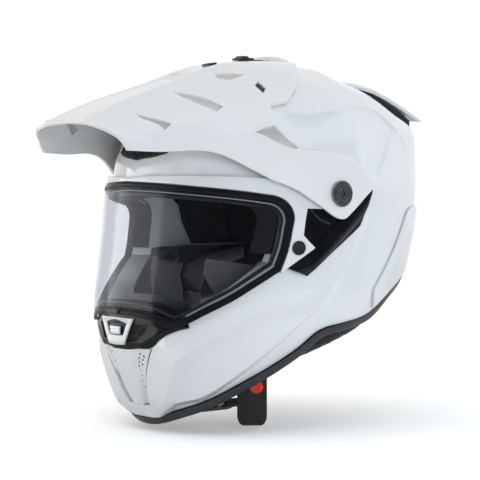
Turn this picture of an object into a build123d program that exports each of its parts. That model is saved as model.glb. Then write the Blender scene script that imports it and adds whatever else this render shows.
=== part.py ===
from build123d import *
import os
import numpy as np

# Dual sport helmet. Millimetres, +Z up, front of the helmet towards -Y, the wearer's left at +X.
# The origin is on the symmetry plane, on the axis that the face shield turns about.

# ---- driving dimensions ----
SHELL_T = 4.0            # shell wall
FOAM_OUT, FOAM_IN = -4.9, -30.0
LINER_OUT, LINER_IN = -30.9, -41.0
PAD_IN = -50.0           # inner face of the cheek pads
LENS_IN, LENS_OUT = 3.5, 5.5
SEAL_IN, SEAL_OUT = 3.3, 5.9
FRAME_IN, FRAME_OUT = 3.7, 5.6
SEAL_W = 6.4             # width of the black border of the shield
PEAK_T = 3.0
BASE_X = 128.0           # outer face of the pivot base plates
HUB_X = 127.4            # inner face of the shield hubs
HUB_TOP = 130.3          # outer face of the shield hubs
HUB_R = 15.0
BUSH_R = 6.0
SCREW_R = 11.4
WEB_W, WEB_T = 27.0, 2.2 # strap webbing

os.makedirs("parts", exist_ok=True)

# ---- the outer form: level sections made of four cubic quadrants ----
# tau, z, front reach, rear reach, half width, y of the widest point, front handle, side handle (front), rear handle, side handle (rear)
LEVELS = np.array([
    [0.00, -212, 106, 125, 84, -5, 0.52, 0.52, 0.62, 0.50],
    [0.08, -180, 122, 136, 96, -3, 0.52, 0.53, 0.62, 0.50],
    [0.18, -145, 136, 148, 107, 1, 0.53, 0.55, 0.62, 0.50],
    [0.28, -108, 140, 158, 115, 5, 0.54, 0.57, 0.62, 0.52],
    [0.38, -70, 136, 167, 121, 11, 0.51, 0.57, 0.62, 0.54],
    [0.48, -32, 131, 176, 125, 17, 0.48, 0.57, 0.60, 0.55],
    [0.58, 6, 126, 182, 126, 21, 0.49, 0.56, 0.60, 0.55],
    [0.68, 40, 116, 182, 121, 23, 0.52, 0.56, 0.58, 0.55],
    [0.78, 72, 97, 168, 108, 25, 0.55, 0.56, 0.56, 0.55],
    [0.86, 95, 72, 141, 87, 27, 0.56, 0.56, 0.56, 0.55],
    [0.93, 110, 39, 105, 59, 29, 0.56, 0.56, 0.56, 0.55],
    [0.98, 117, -4, 62, 28, 31, 0.56, 0.56, 0.56, 0.55],
    [1.00, 118, -29, 31, 0.01, 33, 0.56, 0.56, 0.56, 0.55],
])
CUTS = [0.0, 0.1, 0.2, 0.3, 0.4, 0.5, 0.6, 0.7, 0.79, 0.87, 0.935, 0.98]


def spline(xs, ys, xq):
    """Natural cubic spline through (xs, ys), read at xq."""
    xs, ys = np.asarray(xs, float), np.asarray(ys, float)
    one = ys.ndim == 1
    if one:
        ys = ys[:, None]
    n, h = len(xs), np.diff(xs)
    a, r = np.zeros((n, n)), np.zeros((n, ys.shape[1]))
    a[0, 0] = a[-1, -1] = 1
    for i in range(1, n - 1):
        a[i, i - 1], a[i, i], a[i, i + 1] = h[i - 1], 2 * (h[i - 1] + h[i]), h[i]
        r[i] = 6 * ((ys[i + 1] - ys[i]) / h[i] - (ys[i] - ys[i - 1]) / h[i - 1])
    m = np.linalg.solve(a, r)
    q = np.clip(np.asarray(xq, float), xs[0], xs[-1])
    i = np.clip(np.searchsorted(xs, q, side="right") - 1, 0, n - 2)
    t, hi = (q - xs[i])[..., None], h[i][..., None]
    out = ys[i] + ((ys[i + 1] - ys[i]) / hi - hi * (2 * m[i] + m[i + 1]) / 6) * t + m[i] / 2 * t**2 + (m[i + 1] - m[i]) / (6 * hi) * t**3
    return out[..., 0] if one else out


def offset_levels(d):
    """The level table moved outwards by d along the mean profile."""
    t = LEVELS.copy()
    taus, z, rad = t[:, 0], t[:, 1].copy(), (t[:, 2] + t[:, 3] + 2 * t[:, 4]) / 4
    a = spline(taus, np.stack([z, rad], 1), np.clip(taus - 1e-3, 0, 1))
    b = spline(taus, np.stack([z, rad], 1), np.clip(taus + 1e-3, 0, 1))
    dz, dr = b[:, 0] - a[:, 0], b[:, 1] - a[:, 1]
    n = np.hypot(dz, dr)
    nr, nz = dz / n, -dr / n
    nr[0], nz[0], nr[-1], nz[-1] = 1, 0, 0, 1
    t[:, 1] += d * nz
    for k in (2, 3, 4):
        t[:, k] += d * nr
    return t


def point(tau, u, table):
    """A point of the form: u runs from 0 at the front, through 0.5 at the widest point, to 1 at the back."""
    tau, u = np.broadcast_arrays(np.asarray(tau, float), np.asarray(u, float))
    L = spline(table[:, 0], table[:, 1:], tau)
    z, fr, re, w, yw, hf, sf, hr, sr = [L[..., k] for k in range(9)]
    front = u <= 0.5
    t = np.where(front, u * 2, (1 - u) * 2)
    end, hx, s = np.where(front, -fr, re), np.where(front, hf, hr) * w, np.where(front, sf, sr)
    b0, b1, b2, b3 = (1 - t)**3, 3 * t * (1 - t)**2, 3 * t * t * (1 - t), t**3
    return np.stack([b1 * hx + (b2 + b3) * w, (b0 + b1) * end + b2 * (yw + s * (end - yw)) + b3 * yw, z], -1)


_bodies = {}


def body(d):
    """The closed solid of the form, moved out by d."""
    if d not in _bodies:
        table = offset_levels(d)
        us = np.linspace(0, 1, 11)
        wires = []
        for tau in CUTS:
            p = point(tau, us, table)
            loop = [tuple(v) for v in p] + [(-v[0], v[1], v[2]) for v in p[-2:0:-1]]
            wires.append(Wire([Edge.make_spline([Vector(*v) for v in loop], periodic=True)]))
        _bodies[d] = Solid.make_loft(wires, ruled=False)
    return _bodies[d]


def skin(d_out, d_in, outline):
    """The wall between two offsets of the form, inside an outline."""
    return (body(d_out) & outline) - body(d_in)


def prism_x(pts, x0=-180.0, x1=180.0):
    """A side view outline (y, z), drawn out along X."""
    w = Wire.make_polygon([Vector(x0, y, z) for y, z in pts], close=True)
    return Solid.extrude(Face(w), Vector(x1 - x0, 0, 0))


def prism_y(pts, y0=-230.0, y1=-60.0):
    """A front view outline (x, z), drawn out along Y."""
    w = Wire.make_polygon([Vector(x, y0, z) for x, z in pts], close=True)
    return Solid.extrude(Face(w), Vector(0, y1 - y0, 0))


def prism_z(pts, z0, z1):
    """A plan view outline (x, y), drawn out along Z."""
    w = Wire.make_polygon([Vector(x, y, z0) for x, y in pts], close=True)
    return Solid.extrude(Face(w), Vector(0, 0, z1 - z0))


def mirrored(half):
    """A full outline from its half with x >= 0, listed from the top centre to the bottom centre."""
    return list(half) + [(-x, z) for x, z in reversed(half) if x > 1e-6]


def grow(pts, d):
    """The outline moved outwards by d (inwards when negative), with mitred corners."""
    p = np.array(pts, float)
    area = 0.5 * np.sum(p[:, 0] * np.roll(p[:, 1], -1) - np.roll(p[:, 0], -1) * p[:, 1])
    e = np.roll(p, -1, 0) - p
    e /= np.linalg.norm(e, axis=1, keepdims=True)
    n = np.stack([e[:, 1], -e[:, 0]], 1) * np.sign(area)
    n0 = np.roll(n, 1, 0)
    m = n0 + n
    m /= np.maximum((m * m).sum(1, keepdims=True), 0.5) / 2
    return [tuple(v) for v in p + d * m]


def half(shape, side):
    box = Solid.make_box(200, 480, 480, Plane((0 if side > 0 else -200, -240, -240)))
    return shape & box


def cyl(r, x0, x1, y=0.0, z=0.0, side=1):
    s = Solid.make_cylinder(r, x1 - x0, Plane(origin=(x0, y, z), z_dir=(1, 0, 0)))
    return s if side > 0 else s.mirror(Plane.YZ)


def flip(shape):
    return shape.mirror(Plane.YZ)


# ---- outlines ----
# edge of the shield's black border
LENS = [(-200, 10.4), (-131.2, 10.2), (-122, 8.5), (-105.4, 5.9), (-75.4, 1.6), (-55, -1.8), (-45.6, -7.8), (-39.8, -19), (-41.5, -30.2), (-45.5, -49), (-51.1, -66.2),
        (-69.6, -78.7), (-87.5, -91.4), (-103.9, -101.6), (-120.6, -113.6), (-127, -114.6), (-136.5, -108.6), (-143.3, -105.2), (-200, -104.6)]
PORT = grow(LENS, -SEAL_W - 1.6)
PORT_RIM = PORT[:15] + PORT[16:]          # without the short edge at the lower corner, so it can be moved inwards
PORT[0], PORT[-1] = (-200, PORT[1][1]), (-200, PORT[-2][1])
BOTTOM = [(-200, -199.4), (-112, -198.8), (-103.5, -190.4), (-90.2, -181.5), (-69.5, -166.1), (-48.1, -152.1), (-22.2, -135), (-3, -121.4), (26.9, -115.4), (62.6, -107.7),
          (96.3, -89.5), (122, -79), (150, -73), (215, -70)]


def below(dz, drop=70.0):
    """Everything under the shell's lower edge, moved by dz."""
    line = [(y, z + dz) for y, z in BOTTOM]
    return line + [(215, -260 - drop), (-200, -260 - drop)]


CHIN_HOUSING = mirrored([(0, -104.2), (24, -104.6), (43, -107.6), (57, -113.2), (66, -113.0), (66.5, -114.6), (59.3, -117), (44.6, -125.2), (38.7, -130.8), (34.6, -133.6),
                         (15.5, -134.8), (0, -135.6)])
CHIN_PANEL = mirrored([(0, -136.8), (34.6, -134.8), (24.2, -156.6), (14.6, -186.6), (0, -187.6)])
BEZEL = mirrored([(0, -107.4), (22.5, -107.8), (10.5, -131.2), (0, -131.6)])
PENTAGON = mirrored([(0, -109.6), (15.0, -112.4), (10.0, -122.9), (0, -123.2)])
BUTTON = mirrored([(0, -115.2), (7.0, -115.2), (6.0, -122.2), (0, -122.2)])
MESH = [(19.5, -112.6), (31.8, -115.0), (24.2, -127.6), (11.6, -128.4)]
BROW = mirrored([(0, 47), (31, 47), (35, 35.6), (21.2, 32.1), (7, 30.4), (0, 29.4)])
BLADE = [(-42.6, -63.6), (-24.1, -71.1), (-6, -55.8), (30.1, -28.5), (41.9, 4.0), (9.1, -20.2), (-18.8, -45.6)]
BASE = [(-30, -3), (-31.5, -36), (-24.5, -45), (-17, -49.5), (-8, -42), (14, -21), (30, -8), (32, 2), (0, 2), (-20, -3)]
FRAME = [(-200, 14.2), (-124, 14.5), (-104, 15.3), (-76.4, 14.4), (-52, 13.0), (-30, 12.5), (-12, 13.5), (0, 14.5), (9, 11), (14, 0), (10, -10), (0, -14), (-12, -12), (-26.4, -9.6),
         (-28.1, -22.6), (-29.6, -35.5), (-22.9, -42.5), (-18, -46), (-34.3, -57), (-48.8, -67.1), (-58, -62), (-80, -30), (-200, -20)]
REAR_PANEL = [(108.3, -18), (84.1, -56.4), (60.1, -87.3), (62.6, -103.6), (96.3, -86), (122, -75.4), (150, -69.5), (215, -66.5), (215, -12), (118, -13)]
FOAM_CUT = [(-200, -52), (215, -52), (215, -260), (-200, -260)]

nodes = {}

# ---- shell ----
shell = body(0) - prism_x(PORT)
shell -= prism_x(below(0))
shell -= body(-SHELL_T)
shell -= prism_y(grow(CHIN_HOUSING, 0.35))
shell -= prism_y(grow(CHIN_PANEL, 0.35))
shell -= prism_y(grow(BROW, 0.35), -200, -60)
for s in (1, -1):
    shell -= cyl(BUSH_R + 0.05, 100, 140, side=s)
shell -= Solid.make_box(36, 36, 40, Plane((-18, 0, 96)))
nodes["outer_shell"] = shell

nodes["neck_trim"] = skin(1.3, -5.4, prism_x(below(-0.3)) - prism_x(below(-7.5)))

nodes["eyeport_gasket"] = skin(2.3, -5.6, prism_x(grow(PORT_RIM, -0.4)) - prism_x(grow(PORT_RIM, -2.8)))

# ---- energy liner and comfort liner ----
foam = body(FOAM_OUT) - prism_x(grow(PORT, 1.2)) - prism_x(FOAM_CUT)
foam -= body(FOAM_IN)
foam -= Solid.make_box(46, 48, 60, Plane((-23, -1, 80)))
for s in (1, -1):
    foam -= cyl(12.2, 90, 123, side=s)
nodes["eps_liner"] = foam
LINER_SIDE = [(-23, 22), (-150, 30), (-150, 140), (180, 140), (180, -53), (9, -53), (-6, -30), (-17, 4)]
nodes["crown_liner"] = skin(LINER_OUT, LINER_IN, prism_x(LINER_SIDE))
CHEEK = [(-63, -66), (-44, -58), (-20, -54), (44, -54), (46, -104), (26.9, -108), (-3, -114), (-22.2, -127.5), (-44, -141), (-62, -150), (-66, -130), (-64, -90)]
cheeks = skin(-5.4, PAD_IN, prism_x(CHEEK))
NECK = [(47, -54), (200, -54), (200, -62), (150, -65), (122, -71.5), (96.3, -82), (62.6, -100.2), (47.5, -103.5)]
nodes["neck_roll"] = skin(-5.4, -44, prism_x(NECK))
CHIN_FOAM = [(-200, -138), (-112, -138), (-104, -116), (-84, -98), (-68, -88), (-67.5, -154), (-90.2, -173), (-103.5, -182), (-112, -190), (-200, -190)]
chin_foam = skin(-5.0, -20, prism_x(CHIN_FOAM))
nodes["chin_eps"] = chin_foam
GUARD = [(-200, -136), (-112, -136), (-100.5, -112), (-100, -96), (-112, -90), (-124, -87), (-200, -85)]
nodes["breath_guard"] = skin(-21.0, -23.4, prism_x(GUARD))
for name, s in (("left", 1), ("right", -1)):
    nodes["cheek_pad_" + name] = half(cheeks, s)

# ---- chin vent ----
housing = skin(2.5, -3.6, prism_y(CHIN_HOUSING))
recess = prism_y(grow(MESH, 0.3)) - body(0.9)
housing -= recess
housing -= flip(recess)
housing -= prism_y(grow(PENTAGON, -1.0), -142.2, -139.9)
nodes["chin_vent_housing"] = housing
nodes["chin_vent_bezel"] = skin(5.2, 2.8, prism_y(BEZEL) - prism_y(PENTAGON))
mesh = skin(1.9, 1.0, prism_y(MESH))
nodes["chin_vent_mesh"] = Compound([mesh, flip(mesh)])
nodes["chin_vent_button"] = skin(5.6, 3.3, prism_y(BUTTON))
nodes["chin_lower_panel"] = skin(0.7, -3.4, prism_y(CHIN_PANEL))

# ---- brow vent ----
nodes["brow_vent_insert"] = skin(1.6, -3.2, prism_y(BROW, -200, -60))

# ---- pivots ----
for name, s in (("left", 1), ("right", -1)):
    if s > 0:
        base = skin(2.9, 0.6, prism_x(BASE, 60, BASE_X))
        base -= cyl(HUB_R + 1.2, 100, 140)
        base -= prism_x(grow(BLADE, 0.5), 60, 180)
        blade = skin(6.6, 0.6, prism_x(BLADE, 60, 180))
        bush = cyl(BUSH_R, 118.0, 132.4) + (cyl(11.5, 118.0, 123) & body(-SHELL_T - 0.15)) - cyl(3.0, 100, 150)
        screw = cyl(SCREW_R, 136.9, 139.3) + cyl(2.95, 113.0, 136.9)
        nut = cyl(7.0, 113.6, 117.8) - cyl(3.0, 100, 150)
        rear_panel = skin(3.2, 0.6, prism_x(REAR_PANEL))
    for key, shape in (("pivot_base", base), ("side_vent", blade), ("pivot_bushing", bush), ("peak_screw", screw), ("pivot_nut", nut)):
        nodes[key + "_" + name] = shape if s > 0 else flip(shape)
nodes["rear_vent_panel"] = rear_panel

# ---- face shield ----
nodes["shield_lens"] = skin(LENS_OUT, LENS_IN, prism_x(grow(LENS, -SEAL_W)))
nodes["shield_seal"] = skin(SEAL_OUT, SEAL_IN, prism_x(grow(LENS, -0.3)) - prism_x(grow(LENS, -SEAL_W + 0.3)))
HUB_WEB = [(-27, -9), (-26, -11), (-11, -10), (-6, -7), (-6, 7), (-11, 10), (-22, 8)]
web = prism_x(HUB_WEB, 100, HUB_TOP) & prism_z([(90, -34), (124.6, -34), (130.3, -13), (130.3, 30), (90, 30)], -20, 20)
hub = cyl(HUB_R, HUB_X, HUB_TOP) + (web - body(FRAME_IN))
hub -= cyl(BUSH_R + 0.06, 100, 160)
frame = skin(FRAME_OUT, FRAME_IN, half(prism_x(FRAME), 1) - prism_x(grow(LENS, 0.15)))
frame -= cyl(HUB_R + 0.4, 100, 160)
frame += hub
frame -= prism_x(grow(BLADE, 0.8), 60, 180)
PIN = (121.6, -35.9, -46.6)
PIN_N = (0.9526, -0.3015, -0.0403)      # the shield's outward normal at the pin


def pin_cyl(r, a, b):
    p, n = Vector(*PIN), Vector(*PIN_N)
    return Solid.make_cylinder(r, b - a, Plane(origin=p + n * a, z_dir=n))


frame -= pin_cyl(3.05, -6, 6)
frame += flip(frame)
nodes["shield_frame"] = frame
pin = pin_cyl(6.2, 0.25, 1.6) + pin_cyl(3.0, -1.8, 0.3)
nodes["shield_pins"] = Compound([pin, flip(pin)])
nodes["shield_tab"] = skin(8.6, 6.0, prism_y(mirrored([(0, -99.4), (9, -99.6), (7, -104.2), (0, -104.4)]), -200, -100))

# ---- peak ----
# y, centre height, centre handle, edge x, edge z, edge handle
PEAK = np.array([
    [-198, 61.5, 50, 63, 37, 14],
    [-170, 74.2, 52, 68, 36, 20],
    [-140, 85.5, 56, 78, 35.5, 27],
    [-101, 97.5, 63, 92.2, 34.2, 34],
    [-76, 106.4, 69, 106.4, 21, 48],
    [-53, 114.2, 73, 122.0, 7, 64],
    [-29, 120.0, 78, 131.2, -7, 82],
    [-10, 121.9, 88, 136.2, -24, 104],
    [10, 122.8, 94, 138.2, -28, 110],
    [40, 122.4, 97, 139.6, -10, 96],
    [75, 118.4, 97, 136, 10, 78],
])


def peak_section(y, v, d=0.0):
    c = spline(PEAK[:, 0], PEAK[:, 1:], y)
    zc, h1, xe, ze, h2 = [float(q) for q in c]
    zc, xe = zc - d, xe - d
    b0, b1, b2, b3 = (1 - v)**3, 3 * v * (1 - v)**2, 3 * v * v * (1 - v), v**3
    x = b1 * h1 + (b2 + b3) * xe
    z = (b0 + b1) * zc + b2 * (ze + h2) + b3 * ze
    return x, z


def peak_solid():
    wires = []
    v = np.linspace(0, 1, 15)
    for y in (-198, -183, -168, -153, -138, -123, -108, -93, -78, -63, -48, -33, -18, -3, 12, 27, 42, 57, 72):
        edges = []
        loops = []
        for d in (0.0, PEAK_T):
            x, z = peak_section(y, v, d)
            loops.append([(-a, y, b) for a, b in zip(x[:0:-1], z[:0:-1])] + [(a, y, b) for a, b in zip(x, z)])
        out, inn = loops
        e1 = Edge.make_spline([Vector(*p) for p in out])
        e2 = Edge.make_line(Vector(*out[-1]), Vector(*inn[-1]))
        e3 = Edge.make_spline([Vector(*p) for p in inn[::-1]])
        e4 = Edge.make_line(Vector(*inn[0]), Vector(*out[0]))
        wires.append(Wire([e1, e2, e3, e4]))
    return Solid.make_loft(wires, ruled=False)


PEAK_FRONT = [(-200, -240), (200, -240), (200, -172), (66, -177), (60, -188), (50, -194), (28, -196.4), (0, -197.3), (-28, -196.4), (-50, -194), (-60, -188), (-66, -177), (-200, -172)]
PEAK_LOWER = [(-60, 12.0), (-53.6, 8.5), (-28.9, -5.3), (-14.9, -14.8), (-4.8, -21), (2.7, -21.9), (11.3, -16.8), (25.3, -4.7), (38, 5.8), (90, 44), (90, -90), (-60, -90)]
PEAK_REAR = [(90, 44), (38, 5.8), (39.8, 10.2), (26, 24.3), (11.1, 33.8), (-10.4, 36.2), (-33.2, 36.9), (-53.3, 56.6), (-47.8, 76.9), (-31.5, 79.8), (-16.1, 92.8), (0.7, 107.5), (110, 107.5)]
PEAK_TONGUE = [(80, -2), (76, 0.7), (55, 19), (30, 39), (12, 53), (4, 60), (-4, 60), (-12, 53), (-30, 39), (-55, 19), (-76, 0.7), (-80, -2), (-200, -2), (-200, 120), (200, 120), (200, -2)]
peak = peak_solid()
peak -= prism_z(PEAK_FRONT, 0, 140)
peak -= prism_x(PEAK_LOWER)
peak -= prism_x(PEAK_REAR)
peak -= prism_z(PEAK_TONGUE, 80, 140)
for s in (1, -1):
    peak -= cyl(3.4, 100, 160, side=s)
    peak -= cyl(BUSH_R + 0.3, 100, 132.7, side=s)
    peak -= cyl(SCREW_R + 0.4, 136.8, 160, side=s)

# ---- openings and inserts on the peak ----
INLET = [(73.6, -42.2, 99.9), (83.7, -42.3, 92.7), (86.7, -47.4, 87.1), (76.9, -48.0, 94.8)]


def slab(pts, a, b, pad=0.0):
    """A slab over four corners, from a to b along their outward normal."""
    p = np.array(pts, float)
    c = p.mean(0)
    n = np.cross(p[1] - p[0], p[2] - p[0])
    n /= np.linalg.norm(n)
    n = n if n @ (c - np.array([0, 20, 40])) > 0 else -n
    p = p - ((p - c) @ n)[:, None] * n
    q = p - c
    p = c + q * (1 + pad / np.linalg.norm(q, axis=1, keepdims=True))
    w = Wire.make_polygon([Vector(*(v + n * a)) for v in p], close=True)
    return Solid.extrude(Face(w), Vector(*(n * (b - a))))


hole = slab(INLET, -14, 12)
plug = slab(INLET, -3.4, -1.2, -0.4)
peak -= hole
peak -= flip(hole)
peak -= Solid.make_box(11.6, 9.1, 40, Plane((-5.8, -43.3, 95)))
peak -= Solid.make_box(9, 8, 40, Plane((-4.5, -4, 100)))
nodes["peak"] = peak - body(0.7)
nodes["peak_side_inlets"] = Compound([plug, flip(plug)])
nodes["peak_center_vent"] = prism_x([(-43, 112.8), (-34.5, 114.8), (-34.5, 119.7), (-43, 117.7)], -5.5, 5.5)

cover = prism_x([(22, 127.6), (34, 128.2), (48, 125.9), (58, 122.8), (58, 120.9), (52, 121.6), (48, 122.0), (40, 122.6), (34, 122.95), (22, 123.2)], -30, 30)
cover &= prism_z([(-12, 21.5), (12, 21.5), (11, 44), (6, 58), (-6, 58), (-11, 44)], 110, 140)
cover -= Solid.make_box(10, 22, 3.2, Plane((-5, 20, 121.7)))
nodes["top_vent_cover"] = cover
slider = prism_x([(-8, 123.4), (9.4, 123.4), (9.4, 125.9), (4, 125.9), (2, 127.5), (-2, 127.5), (-4, 125.9), (-8, 124.9)], -6.5, 6.5)
slider += prism_x([(9, 123.4), (32, 123.4), (32, 124.6), (9, 124.6)], -4, 4)
nodes["top_vent_slider"] = slider

blade = prism_x([(108, 108.5), (135, 100.2), (160, 89.2), (192, 72.6), (191, 69.6), (158, 85.0), (134, 95.6), (108, 102)], -60, 60)
blade &= prism_z([(-24, 100), (24, 100), (36, 122), (44, 192), (40, 196), (-40, 196), (-44, 192), (-36, 122)], 50, 130)
nodes["rear_spoiler"] = blade - body(0.7)
wedge = prism_x([(118, 99.6), (134, 94.2), (158, 83.6), (184, 71.2), (178, 66), (150, 56), (118, 60)], -37, 37)
nodes["spoiler_insert"] = wedge - body(0.8)

# ---- chin strap ----
ANG = 51.0
ca, sa = np.cos(np.radians(ANG)), np.sin(np.radians(ANG))
STRAP = (62.0, -39.0)


def along(pts, x0, y0, half_w):
    """A profile (n, z) drawn out to a width of 2 half_w along the strap's own direction."""
    w = Wire.make_polygon([Vector(x0 + n * sa - half_w * ca, y0 - n * ca - half_w * sa, z) for n, z in pts], close=True)
    return Solid.extrude(Face(w), Vector(2 * half_w * ca, 2 * half_w * sa, 0))


def bend(r, z0, k=8):
    return [(r * np.cos(a), z0 - r * np.sin(a)) for a in np.linspace(0, np.pi, k)]


outer = [(4.4, -122)] + bend(4.4, -202.6) + [(-4.4, -122)]
inner = [(2.2, -121)] + bend(2.2, -202.6) + [(-2.2, -121)]
strap_l = along(outer, *STRAP, WEB_W / 2) - along(inner, *STRAP, WEB_W / 2 + 1)
anchor_l = along([(2.0, -104), (2.0, -130), (-2.0, -130), (-2.0, -104)], *STRAP, 11)
anchor_l -= along([(0.8, -105), (0.8, -129), (-0.8, -129), (-0.8, -105)], *STRAP, 12)
snap = along([(4.7, -160), (7.2, -160), (7.2, -180), (4.7, -180)], STRAP[0] + 2.2, STRAP[1] + 2.7, 10)
snap &= Solid.make_cylinder(6.4, 30, Plane(origin=(STRAP[0] + 2.2, STRAP[1] + 2.7, -171.5), z_dir=(sa, -ca, 0)))


def band(path, t):
    """A closed outline (x, z) of thickness t about an open path."""
    p = np.array(path, float)
    d = np.gradient(p, axis=0)
    n = np.stack([-d[:, 1], d[:, 0]], 1) / np.linalg.norm(d, axis=1, keepdims=True)
    return [tuple(v) for v in p + n * t / 2] + [tuple(v) for v in (p - n * t / 2)[::-1]]


ROUTE = [(-80, -112), (-77, -130), (-72, -150), (-63, -168), (-50, -181), (-34, -190), (-16, -195), (2, -196.5), (18, -195), (29.4, -191.0)]
strap_r = prism_y(band(ROUTE, 2.4), -51, -24)
ex, ez = 0.945, 0.327      # direction of the strap's free end


def stadium(r, k=10):
    """A rounded outline about the two ring bars, of radius r."""
    a = [(1.7 + r * np.cos(t), r * np.sin(t)) for t in np.linspace(-np.pi / 2, np.pi / 2, k)]
    a += [(-1.7 - r * np.cos(t), -r * np.sin(t)) for t in np.linspace(-np.pi / 2, np.pi / 2, k)]
    return [(33.6 + u * ex - v * ez, -189.4 + u * ez + v * ex) for u, v in a]


strap_r += prism_y(stadium(3.9), -49, -26)
strap_r -= prism_y(stadium(1.9), -60, -15)
pad_route = [(-58, -174), (-46, -184), (-32, -191), (-16, -195.2), (0, -196.5), (14, -195.6)]
pad = prism_y(band(pad_route, 8.0), -54, -21) - prism_y(band(ROUTE, 3.2), -51.4, -23.6)
rings = []
for u0 in (-1.7, 1.7):
    def dee(r, lo, a, b):
        """A D outline of radius r, drawn from a to b along the strap's direction."""
        q = [(-r, lo), (r, lo)] + [(r * np.cos(t), 6 + r * np.sin(t)) for t in np.linspace(0, np.pi, 16)]
        w = Wire.make_polygon([Vector(33.6 + (u0 + a) * ex - f * ez, -37.5 + y, -189.4 + (u0 + a) * ez + f * ex) for y, f in q], close=True)
        return Solid.extrude(Face(w), Vector((b - a) * ex, 0, (b - a) * ez))

    rings.append(dee(15.0, -1.4, -1.4, 1.4) - dee(12.1, 1.4, -2, 2))
anchor_r = prism_y([(-82.6, -98), (-77.8, -98), (-77.6, -114), (-82.4, -114)], -49, -26) - prism_y([(-81.9, -110), (-78.2, -110), (-77, -116), (-84, -116)], -60, -20)
nodes["chin_strap_left"] = strap_l
nodes["strap_anchor_left"] = anchor_l
nodes["strap_snap"] = snap
nodes["chin_strap_right"] = strap_r
nodes["strap_pad"] = pad
nodes["d_rings"] = Compound(rings)
nodes["strap_anchor_right"] = anchor_r
slot_l = along([(5.4, -96), (5.4, -215), (-5.4, -215), (-5.4, -96)], *STRAP, WEB_W / 2 + 1.5)
slot_r = prism_y(band([(-80.6, -92)] + ROUTE[:5], 7.0), -53, -22)
nodes["cheek_pad_left"] -= slot_l
nodes["cheek_pad_right"] -= slot_r

print("built", len(nodes))
for name, shape in nodes.items():
    bb = shape.bounding_box()
    print(f"{name:22s} solids {len(shape.solids())} vol {shape.volume/1000:9.2f} x {bb.min.X:7.1f} {bb.max.X:7.1f} y {bb.min.Y:7.1f} {bb.max.Y:7.1f} z {bb.min.Z:7.1f} {bb.max.Z:7.1f}")
    export_step(shape, f"parts/{name}.step")
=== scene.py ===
import math
import bpy
import numpy as np
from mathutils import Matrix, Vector
from mathutils.bvhtree import BVHTree
from mathutils.geometry import delaunay_2d_cdt


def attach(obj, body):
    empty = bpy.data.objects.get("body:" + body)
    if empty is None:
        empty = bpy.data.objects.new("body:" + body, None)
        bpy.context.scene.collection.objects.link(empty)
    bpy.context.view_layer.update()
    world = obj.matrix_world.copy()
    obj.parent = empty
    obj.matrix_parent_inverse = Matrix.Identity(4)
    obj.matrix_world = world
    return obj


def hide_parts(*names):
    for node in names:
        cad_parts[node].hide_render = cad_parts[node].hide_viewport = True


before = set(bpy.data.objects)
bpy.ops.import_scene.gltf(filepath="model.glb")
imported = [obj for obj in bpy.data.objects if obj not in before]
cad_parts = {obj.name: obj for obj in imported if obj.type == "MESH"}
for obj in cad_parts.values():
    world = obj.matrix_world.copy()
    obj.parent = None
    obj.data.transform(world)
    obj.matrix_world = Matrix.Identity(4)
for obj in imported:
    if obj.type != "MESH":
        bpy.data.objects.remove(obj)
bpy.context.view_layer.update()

MM = 0.001
rng = np.random.default_rng(7)

# ------------------------------------------------------------------ the form, in millimetres
# tau, z, front reach, rear reach, half width, y of the widest point, handles
LEVELS = np.array([
    [0.00, -212, 106, 125, 84, -5, 0.52, 0.52, 0.62, 0.50],
    [0.08, -180, 122, 136, 96, -3, 0.52, 0.53, 0.62, 0.50],
    [0.18, -145, 136, 148, 107, 1, 0.53, 0.55, 0.62, 0.50],
    [0.28, -108, 140, 158, 115, 5, 0.54, 0.57, 0.62, 0.52],
    [0.38, -70, 136, 167, 121, 11, 0.51, 0.57, 0.62, 0.54],
    [0.48, -32, 131, 176, 125, 17, 0.48, 0.57, 0.60, 0.55],
    [0.58, 6, 126, 182, 126, 21, 0.49, 0.56, 0.60, 0.55],
    [0.68, 40, 116, 182, 121, 23, 0.52, 0.56, 0.58, 0.55],
    [0.78, 72, 97, 168, 108, 25, 0.55, 0.56, 0.56, 0.55],
    [0.86, 95, 72, 141, 87, 27, 0.56, 0.56, 0.56, 0.55],
    [0.93, 110, 39, 105, 59, 29, 0.56, 0.56, 0.56, 0.55],
    [0.98, 117, -4, 62, 28, 31, 0.56, 0.56, 0.56, 0.55],
    [1.00, 118, -29, 31, 0.01, 33, 0.56, 0.56, 0.56, 0.55],
])


def spline(xs, ys, xq):
    xs, ys = np.asarray(xs, float), np.asarray(ys, float)
    one = ys.ndim == 1
    if one:
        ys = ys[:, None]
    n, h = len(xs), np.diff(xs)
    a, r = np.zeros((n, n)), np.zeros((n, ys.shape[1]))
    a[0, 0] = a[-1, -1] = 1
    for i in range(1, n - 1):
        a[i, i - 1], a[i, i], a[i, i + 1] = h[i - 1], 2 * (h[i - 1] + h[i]), h[i]
        r[i] = 6 * ((ys[i + 1] - ys[i]) / h[i] - (ys[i] - ys[i - 1]) / h[i - 1])
    m = np.linalg.solve(a, r)
    q = np.clip(np.asarray(xq, float), xs[0], xs[-1])
    i = np.clip(np.searchsorted(xs, q, side="right") - 1, 0, n - 2)
    t, hi = (q - xs[i])[..., None], h[i][..., None]
    out = ys[i] + ((ys[i + 1] - ys[i]) / hi - hi * (2 * m[i] + m[i + 1]) / 6) * t + m[i] / 2 * t**2 + (m[i + 1] - m[i]) / (6 * hi) * t**3
    return out[..., 0] if one else out


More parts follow.
